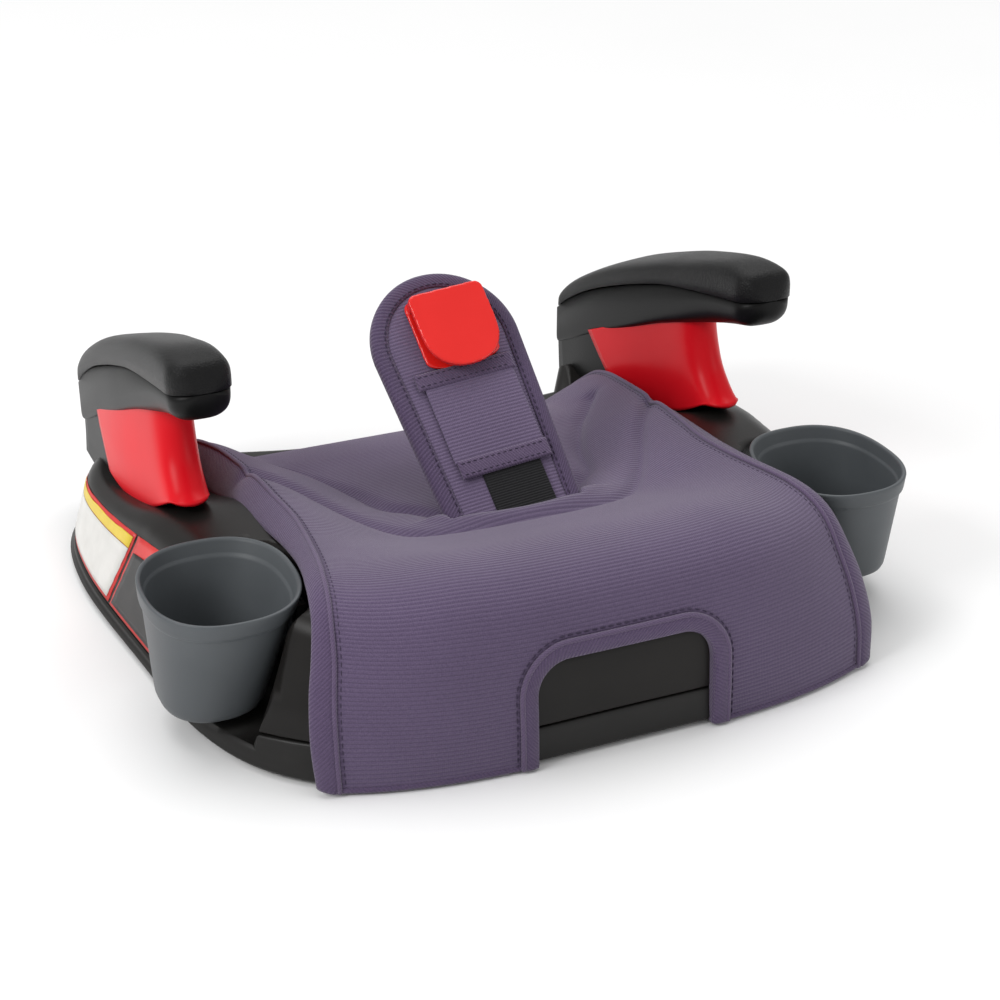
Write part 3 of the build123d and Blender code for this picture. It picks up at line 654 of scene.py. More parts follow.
seam_to_edge = seat_rows[:, 5:8]
FACING_PROFILE = [(-0.02, 0.0), (0.02, 0.35), (0.08, 0.62), (0.18, 0.85), (0.32, 1.0), (0.5, 1.02),
                  (0.68, 0.92), (0.84, 0.68), (0.94, 0.4), (1.0, 0.0), (0.97, -0.5)]
for side, sign in (("left", -1), ("right", 1)):
    grid = facing_rows(sign, 2.6, FACING_PROFILE)
    normals = grid_normals(grid)
    if np.mean(normals[:, :, 0] * sign) < 0:
        normals = -normals
    uvs = []
    for r in range(COVER_ROWS):
        reach = run_along(grid[r])
        uvs += [(cover_run[r] * MM, reach[c] * MM) for c in range(grid.shape[1])]
    border_tape = solid_sheet(f"side_facing_{side}", grid, normals, 2.2, TWILL, uvs)
    edge_column = 0 if sign < 0 else COVER_COLUMNS - 1
    cord_line = [cover_points[r, edge_column] + base_normals[r, edge_column] * 0.7
                 for r in range(0, COVER_ROWS, 2)]
    seam_line, outwards = [], []
    for r in range(0, COVER_ROWS, 2):
        outwards.append(base_normals[r, edge_column])
        seam_line.append(surface_at(cord_line[r // 2][0] - sign * 3.4, min(r, COVER_ROWS - 1.001))[0]
                         + outwards[-1] * 0.05)
    border_cord = tube(f"side_piping_{side}", cord_line, 1.45, PIPING, 8, normal=outwards)
    stitches(f"side_stitches_{side}", seam_line, outwards, THREAD, 3.0, 1.3, 0.28, 0.0)
    for piece in (border_tape, border_cord):
        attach(piece, "seat")

# binding round the opening in the front
outer_path = cutout_path(8.5)
inner_path = cutout_path(-0.4)
outer_edge, inner_edge, facing, back_edge, cord_line = [], [], [], [], []
for (xo, zo), (xi, zi) in zip(outer_path, inner_path):
    outer_point, outer_normal = front_at(xo, zo)
    inner_point, inner_normal = front_at(xi, zi)
    outer_edge.append(outer_point + outer_normal * 0.7)
    inner_edge.append(inner_point + inner_normal * 0.2)
    back_edge.append(inner_point - inner_normal * 5.0)
    cord_line.append(outer_point + outer_normal * 0.9)
    facing.append(outer_normal)
cutout_tape = tape("cutout_tape", outer_edge, inner_edge, 2.2, TWILL, 0.7, out=facing)
cutout_return = tape("cutout_return", inner_edge, back_edge, 1.6, TWILL)
cutout_cord = tube("cutout_piping", cord_line, 1.6, PIPING, 8, normal=facing)
cutout_seam = []
for x, z in cutout_path(11.6):
    point, normal = front_at(x, z)
    cutout_seam.append(point + normal * 0.15)
stitches("cutout_stitches", cutout_seam, facing, THREAD, 3.2, 1.6, 0.35)
for piece in (cutout_tape, cutout_return, cutout_cord):
    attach(piece, "seat")
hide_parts("cutout_binding")

# hems along the front and rear edges of the cover
for name, row in (("front_hem", 0), ("rear_hem", COVER_ROWS - 1)):
    runs = [range(COVER_COLUMNS)]
    if row == 0:
        middle = [c for c in range(COVER_COLUMNS) if abs(cover_points[0, c, 0]) < CUTOUT_X + 7]
        runs = [range(0, middle[0]), range(middle[-1] + 1, COVER_COLUMNS)]
    for part, run in enumerate(runs):
        line = [cover_points[row, c] - base_normals[row, c] * 1.0 + np.array([0, 0, 1.2 if row == 0 else 0])
                for c in run]
        hem = tube(f"{name}_{part}", line, 2.0, TWILL, 8, normal=[base_normals[row, c] for c in run])
        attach(hem, "seat")


# ------------------------------------------------------------------ moulded shell and tray
def base_ring(height, count=240):
    """Outline points of the base at a height, and their outward normals."""
    share = height / LEAN_HEIGHT
    half = [((1 - share) * x0 + share * x1, (1 - share) * y0 + share * y1)
            for (x0, y0), (x1, y1) in zip(FLOOR_OUTLINE, LEAN_OUTLINE)]
    ring = half + [(-x, y) for x, y in reversed(half[1:-1])]
    pts = np.array(ring)
    wrapped = np.vstack([pts[-1:], pts, pts[:2]])
    fine = catmull_rom(wrapped, 20)
    ring = evenly(np.array(fine + [fine[0]]), count, endpoint=False)
    step = np.roll(ring, -1, axis=0) - np.roll(ring, 1, axis=0)
    normal = np.stack([step[:, 1], -step[:, 0]], axis=1)
    return ring, normal / np.linalg.norm(normal, axis=1, keepdims=True)


SHOULDER = [(-204, 45), (-196, 72), (-175, 86), (-130, 89), (-60, 82.5), (-10, 79),
            (20, 73), (60, 57), (100, 45), (140, 37), (206, 36)]
OUTER_SHOULDER = [(-204, 45), (-196, 72), (-175, 86), (-130, 89), (-60, 83), (-10, 79.5),
                  (20, 75), (60, 64), (100, 56), (140, 51), (206, 47)]
RING = 240


def wall_point(index, height, inset):
    """Point on the leaning wall at a height, moved inwards by inset."""
    ring, normal = RINGS[int(np.clip(round(height), 0, 100))]
    x, y = ring[index] - normal[index] * inset
    x += math.copysign(WALL_SWELL * float(smooth(100, 170, abs(x))), x)
    return [x, y, height]


def parting_height(index):
    """Height of the parting line, which drops from the front panel to the sides."""
    return TRAY_TOP - 13.0 * float(smooth(-185, -60, RINGS[20][0][index][1]))


WALL_SWELL = 2.8
RINGS = [base_ring(height, RING) for height in range(0, 101)]


def lofted_base(name, profile, material):
    """Closed loft round the base; profile gives the points of one upright section."""
    sections = [profile(index) for index in range(RING)]
    rows = len(sections[0])
    verts = [tuple(sections[i][r]) for r in range(rows) for i in range(RING)]
    faces = grid_faces(rows, RING, close_columns=True) + end_caps(rows, RING, flip_first=True)
    return make_object(name, verts, faces, material)


def shell_section(index):
    """Upright section of the shell: lip, leaning wall, rounded shoulder, top and inner wall."""
    floor = parting_height(index) + 0.5
    y_low = RINGS[50][0][index][1]
    shoulder = float(curve_at(OUTER_SHOULDER, y_low))
    inner_height = float(curve_at(SHOULDER, y_low))
    if abs(RINGS[50][0][index][0]) < 140:
        shoulder = 70.0 if y_low < 0 else 27.0
        inner_height = shoulder
    rear = float(smooth(-20, 60, y_low))
    round_in, round_up = 15.0 - 6.0 * rear, 13.0 - 5.0 * rear
    points = [wall_point(index, floor + rise, inset)
              for rise, inset in ((0.0, 3.0), (0.0, 1.2), (0.35, 0.4), (1.1, 0.0))]
    if shoulder - round_up > floor + 3:
        for share in (0.3, 0.65, 1.0):
            points.append(wall_point(index, floor + 1.1 + (shoulder - round_up - floor - 1.1) * share, 0.0))
    else:
        round_up = shoulder - floor - 2
        points += [wall_point(index, floor + 1.2 + 0.2 * k, 0.0) for k in range(3)]
    for step in range(1, 9):
        turn = math.pi / 2 * step / 8
        height = shoulder - round_up + round_up * math.sin(turn)
        x, y, _ = wall_point(index, height, round_in * (1 - math.cos(turn)))
        points.append([x, y, height])
    edge = np.array(points[-1])
    target = np.array([np.clip(edge[0], -136, 136), np.clip(edge[1], -165, 150), edge[2]])
    for share in (0.25, 0.5, 0.75, 1.0):
        blend_point = edge * (1 - share) + target * share
        blend_point[2] += 1.4 * math.sin(math.pi * share / 1.6) + (inner_height - shoulder) * share
        points.append(list(blend_point))
    points.append([target[0] * 0.97, target[1] * 0.97, floor + 0.2])
    return points


def tray_section(index):
    """Upright section of the tray: rounded lower edge, wall and lip."""
    top = parting_height(index) - 0.5
    low = 2.0
    points = [wall_point(index, low, 9.0), wall_point(index, low, 6.0)]
    for step in range(1, 7):
        turn = math.pi / 2 * step / 6
        points.append(wall_point(index, 0, 3 * (1 - math.sin(turn))))
        points[-1][2] = low + 3 * (1 - math.cos(turn))
    for share in (0.4, 0.8, 1.0):
        points.append(wall_point(index, low + 3 + (top - 1.1 - low - 3) * share, 0.0))
    points += [wall_point(index, top - 0.3, 0.4), wall_point(index, top, 1.3), wall_point(index, top, 3.5)]
    return points


CUP_X, CUP_Y, CUP_RIM_Z, CUP_BASE_Z = 193.0, -93.0, 88.0, 17.5
CUP_HALF_X, CUP_HALF_Y, CUP_TAPER, CUP_SHIFT = 42.0, 49.0, 0.68, 10.0
CUP_SIDES = 96
# room round the cup in its pocket, and how far the pocket is stretched to open the outer side
POCKET_GAP, POCKET_REACH = 4.0, 2.6


def cup_ring(height, grow, sign, count=CUP_SIDES, power=2.4):
    """Ring of the cup holder at a height, grown outwards."""
    part = (CUP_RIM_Z - height) / (CUP_RIM_Z - CUP_BASE_Z)
    scale = 1 - (1 - CUP_TAPER) * part
    half_x, half_y = CUP_HALF_X * scale + grow, CUP_HALF_Y * scale + grow
    points = []
    for step in range(count):
        turn = 2 * math.pi * step / count
        x = half_x * math.copysign(abs(math.cos(turn)) ** (2 / power), math.cos(turn))
        y = half_y * math.copysign(abs(math.sin(turn)) ** (2 / power), math.sin(turn))
        points.append((sign * (CUP_X + CUP_SHIFT * part + x), CUP_Y + y, height))
    return points


def pocket_tool(sign):
    """Solid that cuts a cup pocket, with a flared mouth and an open outer side."""
    levels = [(13.0, 0.0), (60.0, 0.0), (76.0, 0.2), (81.0, 1.4), (85.0, 4.0), (88.0, 8.5), (90.5, 14.0),
              (110.0, 14.0)]
    verts = []
    for height, flare in levels:
        ring = cup_ring(CUP_RIM_Z, POCKET_GAP + flare, sign)
        for x, y, _ in ring:
            if sign * x > CUP_X:
                x = sign * (CUP_X + (sign * x - CUP_X) * POCKET_REACH)
            verts.append((x, y, height))
    faces = grid_faces(len(levels), CUP_SIDES, close_columns=True) + end_caps(len(levels), CUP_SIDES, True)
    return make_object("pocket_tool", verts, faces, SHELL)


shell = lofted_base("moulded_shell", shell_section, SHELL)
tray = lofted_base("moulded_tray", tray_section, TRAY)
for base_piece, node, slot in ((shell, "seat_shell", "shell_plastic"), (tray, "base_tray", "tray_plastic")):
    for sign in (-1, 1):
        cut(base_piece, pocket_tool(sign))
    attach(base_piece, "seat")
    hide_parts(node)


# ------------------------------------------------------------------ armrests
ARM_FRONT_Y, ARM_REAR_Y = -39.0, 211.0


def arm_width(y):
    """Centre and half width of the armrest, which widens towards the rear."""
    share = float(smooth(-30, 190, y))
    return 179.5 - 3.2 * share, 19.0 + 7.8 * share


def arm_stations():
    """Distances along the armrest, close together at its two ends."""
    near = [0.0, 0.25, 0.8, 1.7, 3.0, 4.6, 6.6, 9.0, 12.0, 15.0, 19.0]
    length = ARM_REAR_Y - ARM_FRONT_Y
    middle = list(np.linspace(24, length - 24, 42))
    return near + middle + [length - d for d in reversed(near)]


def arm_loft(name, sign, flat_curve, far_curve, end_round, rear_round, width_round, power, shrink,
             material, drop=0.0, taper=0.0, tilt=0.0, square=0.0):
    """Half-rounded bar between a flat seam curve and a far curve, with rounded ends."""
    length = ARM_REAR_Y - ARM_FRONT_Y
    across = 33
    verts, uvs = [], []
    stations = arm_stations()
    for d in stations:
        y = ARM_FRONT_Y + d
        end = min(d, length - d)
        corner = 15.0 if d < length / 2 else 9.0 - 0.5 * square
        edge_round = end_round if d < length / 2 else rear_round
        centre, width = arm_width(y)
        width -= shrink
        if end < corner:
            width = width - corner + math.sqrt(max(corner ** 2 - (corner - end) ** 2, 0.0))
        flat = float(curve_at(flat_curve, y)) + drop
        far = float(curve_at(far_curve, y))
        rise = far - flat
        squared = square * float(smooth(0, 110, y))
        if end < edge_round:
            rise *= (1 - (1 - end / edge_round) ** 2.3) ** (1 / 2.3)
        for k in range(across):
            turn = math.pi * k / (across - 1)
            c, s = math.cos(turn), math.sin(turn)
            x = width * math.copysign(abs(c) ** (2 / (power + squared)), c)
            x *= 1 - taper * abs(s) ** 2 * (1 - squared / max(square, 1.0))
            z = flat + rise * abs(s) ** (2 / (width_round + squared)) * (1 - 0.05 * (x / width) ** 2)
            z -= tilt * (0.5 - 0.5 * x / width) * abs(s) * float(smooth(-30, 60, y))
            verts.append((sign * (centre + x), y, z))
            uvs.append((y * MM, k * 0.0015))
        for k in range(1, 8):
            share = -1 + 2 * k / 8
            verts.append((sign * (centre + width * share * 0.97), y, flat - 0.25 * math.copysign(1, rise)))
            uvs.append((y * MM, share * 0.02))
    columns = across + 7
    faces = grid_faces(len(stations), columns, close_columns=True) + end_caps(len(stations), columns)
    return make_object(name, verts, faces, material, uvs)


POST_FRONT = [(38, 150), (38, 138), (35, 120), (27, 102), (14, 89), (5, 84)]
OUTER_FACE = [(30, 203), (48, 201.5), (80, 200), (105, 197.5), (130, 196), (165, 195)]
# the tops of the post and the guide reach up inside the underside of the arm
TUCKED = [(y, z + 5.0) for y, z in ARM_UNDER]
GUIDE_LOW = [(-8, 88), (5, 84), (24, 77), (46, 67), (72, 58), (100, 55), (130, 58)]
CORNER = 9.0
POST_INSET = 1.2
GUIDE_THICKNESS, GUIDE_SMOOTHING = 2.4, 14


def outer_x(y, z):
    """X of the post's outer face; the post narrows towards its front."""
    wide = float(np.interp(z, [p[0] for p in OUTER_FACE], [p[1] for p in OUTER_FACE]))
    return wide - 9.0 * (1 - float(smooth(20, 130, y)))


def inner_x(y):
    """X of the post's inner face."""
    return 168.0 - 16.5 * float(smooth(30, 180, y))


def wrap_rows(sign, low_curve, high_curve, low_rear, high_rear, rows, inset, side_count=26, closed=False):
    """Rows of points that wrap a post: outer side, rounded front, inner side."""
    front = spline(POST_FRONT, rows)[::-1]
    low_y = np.linspace(POST_FRONT[-1][0], low_rear, side_count)
    high_y = np.linspace(POST_FRONT[0][0], high_rear, side_count)
    grid = []
    for r in range(rows):
        t = r / (rows - 1)
        front_y, front_z = front[r]
        front_y += inset
        side = []
        for c in range(side_count):
            share = c / (side_count - 1)
            low = (low_y[c], float(curve_at(low_curve, low_y[c])))
            high = (high_y[c], float(curve_at(high_curve, high_y[c])))
            y = low[0] * (1 - t) + high[0] * t
            z = low[1] * (1 - t) + high[1] * t
            fade = (1 - share) ** 4
            base_y = low_y[0] * (1 - t) + high_y[0] * t
            base_z = (float(curve_at(low_curve, low_y[0])) * (1 - t)
                      + float(curve_at(high_curve, high_y[0])) * t)
            side.append((y + (front_y - base_y) * fade, z + (front_z - base_z) * fade))
        flat = [(y, z) for y, z in side if y > front_y + CORNER + 1.0]
        missing = side_count - len(flat)
        first = flat[0]
        filler = [(first[0] - (first[0] - front_y - CORNER) * (k + 1) / (missing + 1), first[1])
                  for k in range(missing)]
        flat = filler[::-1] + flat
        flat = [(y, z + (front_z - flat[0][1]) * max(0.0, 1 - (y - flat[0][0]) / 25) ** 2) for y, z in flat]
        row = []
        for y, z in reversed(flat):
            row.append((sign * (outer_x(y, z) - inset), y, z))
        outer, inner = outer_x(flat[0][0], front_z) - inset, inner_x(flat[0][0]) + inset
        for k in range(1, 8):
            turn = math.pi / 2 * k / 8
            row.append((sign * (outer - CORNER + CORNER * math.cos(turn)),
                        front_y + CORNER - CORNER * math.sin(turn), front_z))
        for k in range(7):
            share = k / 6
            x = (outer - CORNER) * (1 - share) + (inner + CORNER) * share
            row.append((sign * x, front_y - 1.2 * math.sin(math.pi * share), front_z))
        for k in range(1, 8):
            turn = math.pi / 2 * (1 - k / 8)
            row.append((sign * (inner + CORNER - CORNER * math.cos(turn)),
                        front_y + CORNER - CORNER * math.sin(turn), front_z))
        for y, z in flat:
            row.append((sign * (inner_x(y) + inset), y, z))
        if closed:
            rear_y, rear_z = flat[-1]
            outer, inner = outer_x(rear_y, rear_z) - inset, inner_x(rear_y) + inset
            for k in range(1, 6):
                share = k / 6
                x = inner * (1 - share) + outer * share
                row.append((sign * x, rear_y + 1.2 * math.sin(math.pi * share), rear_z))
        grid.append(row)
    return np.array(grid)


for side, sign in (("left", -1), ("right", 1)):
    pad = arm_loft(f"arm_pad_{side}", sign, ARM_SEAM, ARM_TOP, end_round=9.0, rear_round=11.0,
                   width_round=4.2, power=4.2, shrink=0.0, material=ARM_SKIN, drop=0.5, tilt=5.0)
    under = arm_loft(f"arm_underside_{side}", sign, ARM_SEAM, ARM_UNDER, end_round=13.0, rear_round=2.5,
                     width_round=3.8, power=3.6, shrink=0.9, material=ARM_PLASTIC, drop=-0.5, taper=0.12,
                     square=10.0)
    post = wrap_rows(sign, SHOULDER, TUCKED, 207, 209.5, 24, POST_INSET, closed=True)
    rows, columns = post.shape[:2]
    faces = grid_faces(rows, columns, close_columns=True) + end_caps(rows, columns)
    post_piece = make_object(f"arm_post_{side}", list(post.reshape(-1, 3)), faces, ARM_PLASTIC)
    wrap = wrap_rows(sign, GUIDE_LOW, TUCKED, 124, 156, 40, 0.0)
    for _ in range(GUIDE_SMOOTHING):
        wrap[1:-1, 1:-1] = (wrap[1:-1, 1:-1] * 2 + wrap[1:-1, :-2] + wrap[1:-1, 2:]) / 4
        wrap[:, 1:-1] = (wrap[:, 1:-1] * 2 + wrap[:, :-2] + wrap[:, 2:]) / 4
    facing = grid_normals(wrap) * sign
    guide = solid_sheet(f"belt_guide_red_{side}", wrap, facing, GUIDE_THICKNESS, GUIDE_RED,
                        [(0.0, 0.0)] * (wrap.shape[0] * wrap.shape[1]))
    for piece, node, slot in ((pad, "armrest_pad", "pad_skin"),
                              (under, "armrest_underside", "arm_plastic"),
                              (post_piece, "armrest_post", "arm_plastic"),
                              (guide, "belt_guide", "guide_red")):
        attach(piece, "seat")
        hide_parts(f"{node}_{side}")


# ------------------------------------------------------------------ cup holders
# the cup's section as (height, growth), up its outer wall, over the rim and down the inside
cup_profile = [(17.5, -9.0), (17.5, -5.5), (18.2, -2.6), (19.8, -0.9), (22.5, -0.1), (25.5, 0.0),
               (40, 0.0), (60, 0.0), (75.4, 0.0), (76.6, 0.15), (77.3, 0.8), (78.2, 1.35), (79.6, 1.45),
               (84, 1.4), (86.8, 1.4), (87.7, 1.05), (88.0, 0.3), (87.9, -0.5), (87.4, -1.1),
               (86.4, -1.35), (80.5, -1.5), (79.6, -1.7), (79.0, -2.35), (77.5, -2.5), (60, -2.5),
               (40, -2.5), (25.5, -2.6), (22.6, -3.4), (20.8, -5.5), (20.0, -9.0), (19.9, -14.0)]
for side, sign in (("left", -1), ("right", 1)):
    verts = []
    for height, grow in cup_profile:
        verts += cup_ring(height, grow, sign)
    faces = grid_faces(len(cup_profile), CUP_SIDES, close_columns=True)
    faces += end_caps(len(cup_profile), CUP_SIDES, True)
    cup = make_object(f"cup_{side}", verts, faces, CUP_GREY)
    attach(cup, f"cup_{side}")
    # hook that drops into the bracket
    hook_x = sorted((sign * 150.0, sign * 151.8))
    neck_x = sorted((sign * 150.9, sign * 158.4))
    verts, faces = [], []
    for x_range, half_y in ((hook_x, 9.5), (neck_x, 4.5)):
        start = len(verts)
        for z, tight in ((42.0, 0.5), (42.6, 0.0), (69.2, 0.0), (69.8, 0.5)):
            verts += [(x_range[0] + tight * 0.4, CUP_Y - half_y + tight, z),
                      (x_range[1] - tight * 0.4, CUP_Y - half_y + tight, z),
                      (x_range[1] - tight * 0.4, CUP_Y + half_y - tight, z),
                      (x_range[0] + tight * 0.4, CUP_Y + half_y - tight, z)]
        faces += grid_faces(4, 4, close_columns=True, start=start)
        faces += [(start, start + 1, start + 2, start + 3), (start + 12, start + 13, start + 14, start + 15)]
    hook = make_object(f"cup_hook_{side}", verts, faces, CUP_GREY, None, False)
    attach(hook, f"cup_{side}")
    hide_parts(f"cup_holder_{side}")


# ------------------------------------------------------------------ crotch strap
LEAN, ROLL = math.radians(46), math.radians(5.5)
UP = np.array([0, math.sin(LEAN), math.cos(LEAN)])
ACROSS = np.array([math.cos(ROLL), 0, 0]) + UP * math.sin(ROLL)
ACROSS /= np.linalg.norm(ACROSS)
OUT = np.array([0, -math.cos(LEAN), math.sin(LEAN)])
ALONG = np.cross(OUT, ACROSS)
PIVOT = np.array([-0.5, -53.0, 77.0])
FOOT_HALF, HEAD_HALF, HEAD_V = 43.5, 48.0, 107.5


def on_strap(u, v, w):
    """Point on the strap: across, along and out of its face."""
    return PIVOT + ACROSS * u + ALONG * v + OUT * w


def tongue(inset, count=150):
    """Outline of the strap shrunk by inset, from its right foot over the head to its left foot."""
    head = HEAD_HALF - inset
    path = [(FOOT_HALF - inset, -14.0), (FOOT_HALF - inset, 0.0), (head, HEAD_V)]
    for step in range(1, 36):
        turn = math.pi * step / 36
        path.append((head * math.cos(turn), HEAD_V + head * math.sin(turn)))
    path += [(-head, HEAD_V), (-FOOT_HALF + inset, 0.0), (-FOOT_HALF + inset, -14.0)]
    return evenly(np.array(path), count)


outline = tongue(8.5)
count = len(outline)
spine = np.stack([np.zeros(count), np.clip(outline[:, 1], -14, HEAD_V)], axis=1)
levels = [(0.0, 2.6), (0.03, 3.2), (0.08, 3.7), (0.2, 4.3), (0.4, 4.7), (0.65, 4.9), (1.0, 5.0)]
verts, uvs = [], []
for face in (1, -1):
    for share, height in (levels if face > 0 else levels[::-1]):
        for k in range(count):
            u, v = outline[k] * (1 - share) + spine[k] * share
            verts.append(on_strap(u, v, face * height))
            uvs.append((u * MM, v * MM))
rows = 2 * len(levels)
faces = grid_faces(rows, count)
foot_ring = [r * count for r in range(rows)] + [r * count + count - 1 for r in reversed(range(rows))]
faces.append(tuple(foot_ring))
faces += [(k, k + 1, (rows - 1) * count + k + 1, (rows - 1) * count + k) for k in range(count - 1)]
strap = make_object("strap_padding", verts, faces, STRAP_KNIT, uvs)
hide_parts("strap_pad")

# the binding's section as (inset, height), the same on the strap's back as on its front
half_section = [(9.6, 3.4), (9.9, 4.1), (9.4, 4.55), (7.6, 4.75), (4.5, 4.8), (2.0, 4.5), (0.7, 3.6),
                (0.1, 2.2)]
section = half_section + [(0, 0)] + [(inset, -height) for inset, height in reversed(half_section)]
run = run_along(tongue(5.0))
verts, uvs = [], []
for inset, height in section:
    ring = tongue(inset)
    for k in range(count):
        verts.append(on_strap(ring[k, 0], ring[k, 1], height))
        uvs.append((run[k] * MM, (inset if height > 0 else -inset) * MM))
faces = grid_faces(len(section), count, close_rows=True)
faces.append(tuple(r * count for r in range(len(section))))
faces.append(tuple(r * count + count - 1 for r in reversed(range(len(section)))))
edge = make_object("strap_edge_binding", verts, faces, TWILL, uvs)
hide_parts("strap_binding")
for name, face in (("strap_stitches", 1), ("strap_back_stitches", -1)):
    seam = [on_strap(u, v, face * 4.9) for u, v in tongue(8.2, 200)]
    stitches(name, seam, [face * OUT] * len(seam), THREAD, 2.8, 1.5, 0.32, body="strap")


def strap_slab(name, u_range, v_range, level, thickness, material, crown=0.0, edge_round=1.0, turn_uv=False):
    """Soft slab lying on the strap, with rounded edges and a slight crown."""
    u_low, u_high = u_range
    v_low, v_high = v_range
    columns, rows = 41, 25
    verts, uvs = [], []
    for top in (1, 0):
        for r in range(rows):
            for c in range(columns):
                a, b = c / (columns - 1), r / (rows - 1)
                a, b = (1 - math.cos(math.pi * a)) / 2, (1 - math.cos(math.pi * b)) / 2
                u, v = u_low + (u_high - u_low) * a, v_low + (v_high - v_low) * b
                near = min(u - u_low, u_high - u, v - v_low, v_high - v)
                fall = 1 - (1 - min(near / edge_round, 1)) ** 2
                swell = crown * math.sin(math.pi * a) * math.sin(math.pi * b)
                height = thickness * (0.35 + 0.65 * fall) + swell
                verts.append(on_strap(u, v, level + (height if top else 0)))
                uvs.append((u * MM, v * MM) if not turn_uv else (v * MM, u * MM))
    shift = rows * columns
    upper = grid_faces(rows, columns)
    faces = upper + [tuple(i + shift for i in reversed(f)) for f in upper]
    border = ([c for c in range(columns)] + [r * columns + columns - 1 for r in range(1, rows)]
              + [(rows - 1) * columns + c for c in reversed(range(columns - 1))]
              + [r * columns for r in reversed(range(1, rows - 1))])
    for a, b in zip(border, border[1:] + border[:1]):
        faces.append((b, a, a + shift, b + shift))
    piece = make_object(name, verts, faces, material, uvs)
    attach(piece, "strap")
    return piece


FRONT_LEVEL = 5.0
webbing = strap_slab("strap_webbing_black", (-13, 26), (-10, 100), FRONT_LEVEL - 0.2, 1.4, WEBBING, 0.0, 0.8)
sleeve = strap_slab("strap_sleeve_panel", (-27, 32.5), (31, 82), FRONT_LEVEL + 1.2, 1.2, STRAP_KNIT,
                    0.9, 1.2)
low_band = strap_slab("band_lower", (-26, 34), (20.5, 32.5), FRONT_LEVEL + 1.6, 1.8, BAND_TWILL,
                      0.3, 1.3)
high_band = strap_slab("band_upper", (-31, 34), (80.5, 91.5), FRONT_LEVEL + 1.6, 1.8, BAND_TWILL,
                       0.3, 1.3)
for piece, node, slot in ((webbing, "strap_webbing", "webbing"), (sleeve, "strap_sleeve", "cover_fabric"),
                          (low_band, "sleeve_band_lower", "binding_tape"),
                          (high_band, "sleeve_band_upper", "binding_tape")):
    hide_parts(node)
for name, u_range, v in (("low_a", (-25, 33), 23.0), ("low_b", (-25, 33), 30.0),
                         ("high_a", (-30, 33), 83.0), ("high_b", (-30, 33), 89.0)):
    line = [on_strap(u, v, FRONT_LEVEL + 3.45) for u in np.linspace(*u_range, 60)]
    stitches(f"band_stitches_{name}", line, [OUT] * 60, THREAD, 2.6, 1.4, 0.3, body="strap")

for piece in (strap, edge):
    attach(piece, "strap")


# red hook for the lap belt: a back plate and a rounded front plate, joined along the top
def plate(name, path, low, high):
    """Flat plate over a closed (u, v) outline between two levels."""
    number = len(path)
    verts = [on_strap(u, v, low) for u, v in path] + [on_strap(u, v, high) for u, v in path]
    faces = [tuple(range(number)), tuple(reversed(range(number, 2 * number)))]
    faces += [(i, (i + 1) % number, (i + 1) % number + number, i + number) for i in range(number)]
    return make_object(name, verts, faces, CLIP_RED)


CLIP_LOW_U, CLIP_HIGH_U, CLIP_TOP, CLIP_BEND, CLIP_TIP = -20.0, 30.0, 138.0, 112.0, 86.5
CLIP_LEVEL, CLIP_DEPTH, CLIP_CURVE = 5.3, 12.4, 2.35
clip_middle = (CLIP_LOW_U + CLIP_HIGH_U) / 2
clip_half = (CLIP_HIGH_U - CLIP_LOW_U) / 2


def clip_outline(tip, corner, half, bend):
    """Outline of a clip plate: square top with rounded corners, rounded below."""
    path = []
    for centre_u, start in ((clip_middle + half - corner, 0), (clip_middle - half + corner, 90)):
        for step in range(7):
            turn = math.radians(start + 15 * step)
            path.append((centre_u + corner * math.cos(turn), CLIP_TOP - corner + corner * math.sin(turn)))
    depth = bend - tip
    for step in range(0, 25):
        turn = math.pi + math.pi * step / 24
        across = math.copysign(abs(math.cos(turn)) ** (2 / CLIP_CURVE), math.cos(turn))
        path.append((clip_middle + half * across,
                     bend - depth * abs(math.sin(turn)) ** (2 / CLIP_CURVE)))
    return path


clip = plate("belt_clip_red", clip_outline(CLIP_TIP, 5.0, clip_half, CLIP_BEND),
             CLIP_LEVEL + 9.2, CLIP_LEVEL + CLIP_DEPTH)
back = plate("clip_back", clip_outline(90.0, 5.0, clip_half, 98.0), CLIP_LEVEL, CLIP_LEVEL + 2.4)
bridge_outline = [(clip_middle + clip_half - 1.5, 130.5), (clip_middle + clip_half - 1.5, 135),
                  (clip_middle + clip_half - 4, CLIP_TOP), (clip_middle - clip_half + 4, CLIP_TOP),
                  (clip_middle - clip_half + 1.5, 135), (clip_middle - clip_half + 1.5, 130.5)]
bridge = plate("clip_bridge", bridge_outline, CLIP_LEVEL, CLIP_LEVEL + CLIP_DEPTH)
bpy.ops.object.select_all(action="DESELECT")
for part in (clip, back, bridge):
    part.select_set(True)
bpy.context.view_layer.objects.active = clip
bpy.ops.object.join()
remesh = clip.modifiers.new("fuse", "REMESH")
remesh.mode = "VOXEL"
remesh.voxel_size = 0.0007
soften = clip.modifiers.new("soften", "SMOOTH")
soften.iterations = 9
soften.factor = 0.6
modified(clip)
for polygon in clip.data.polygons:
    polygon.use_smooth = True
if not clip.data.materials:
    clip.data.materials.append(CLIP_RED)
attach(clip, "strap")
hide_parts("belt_clip")


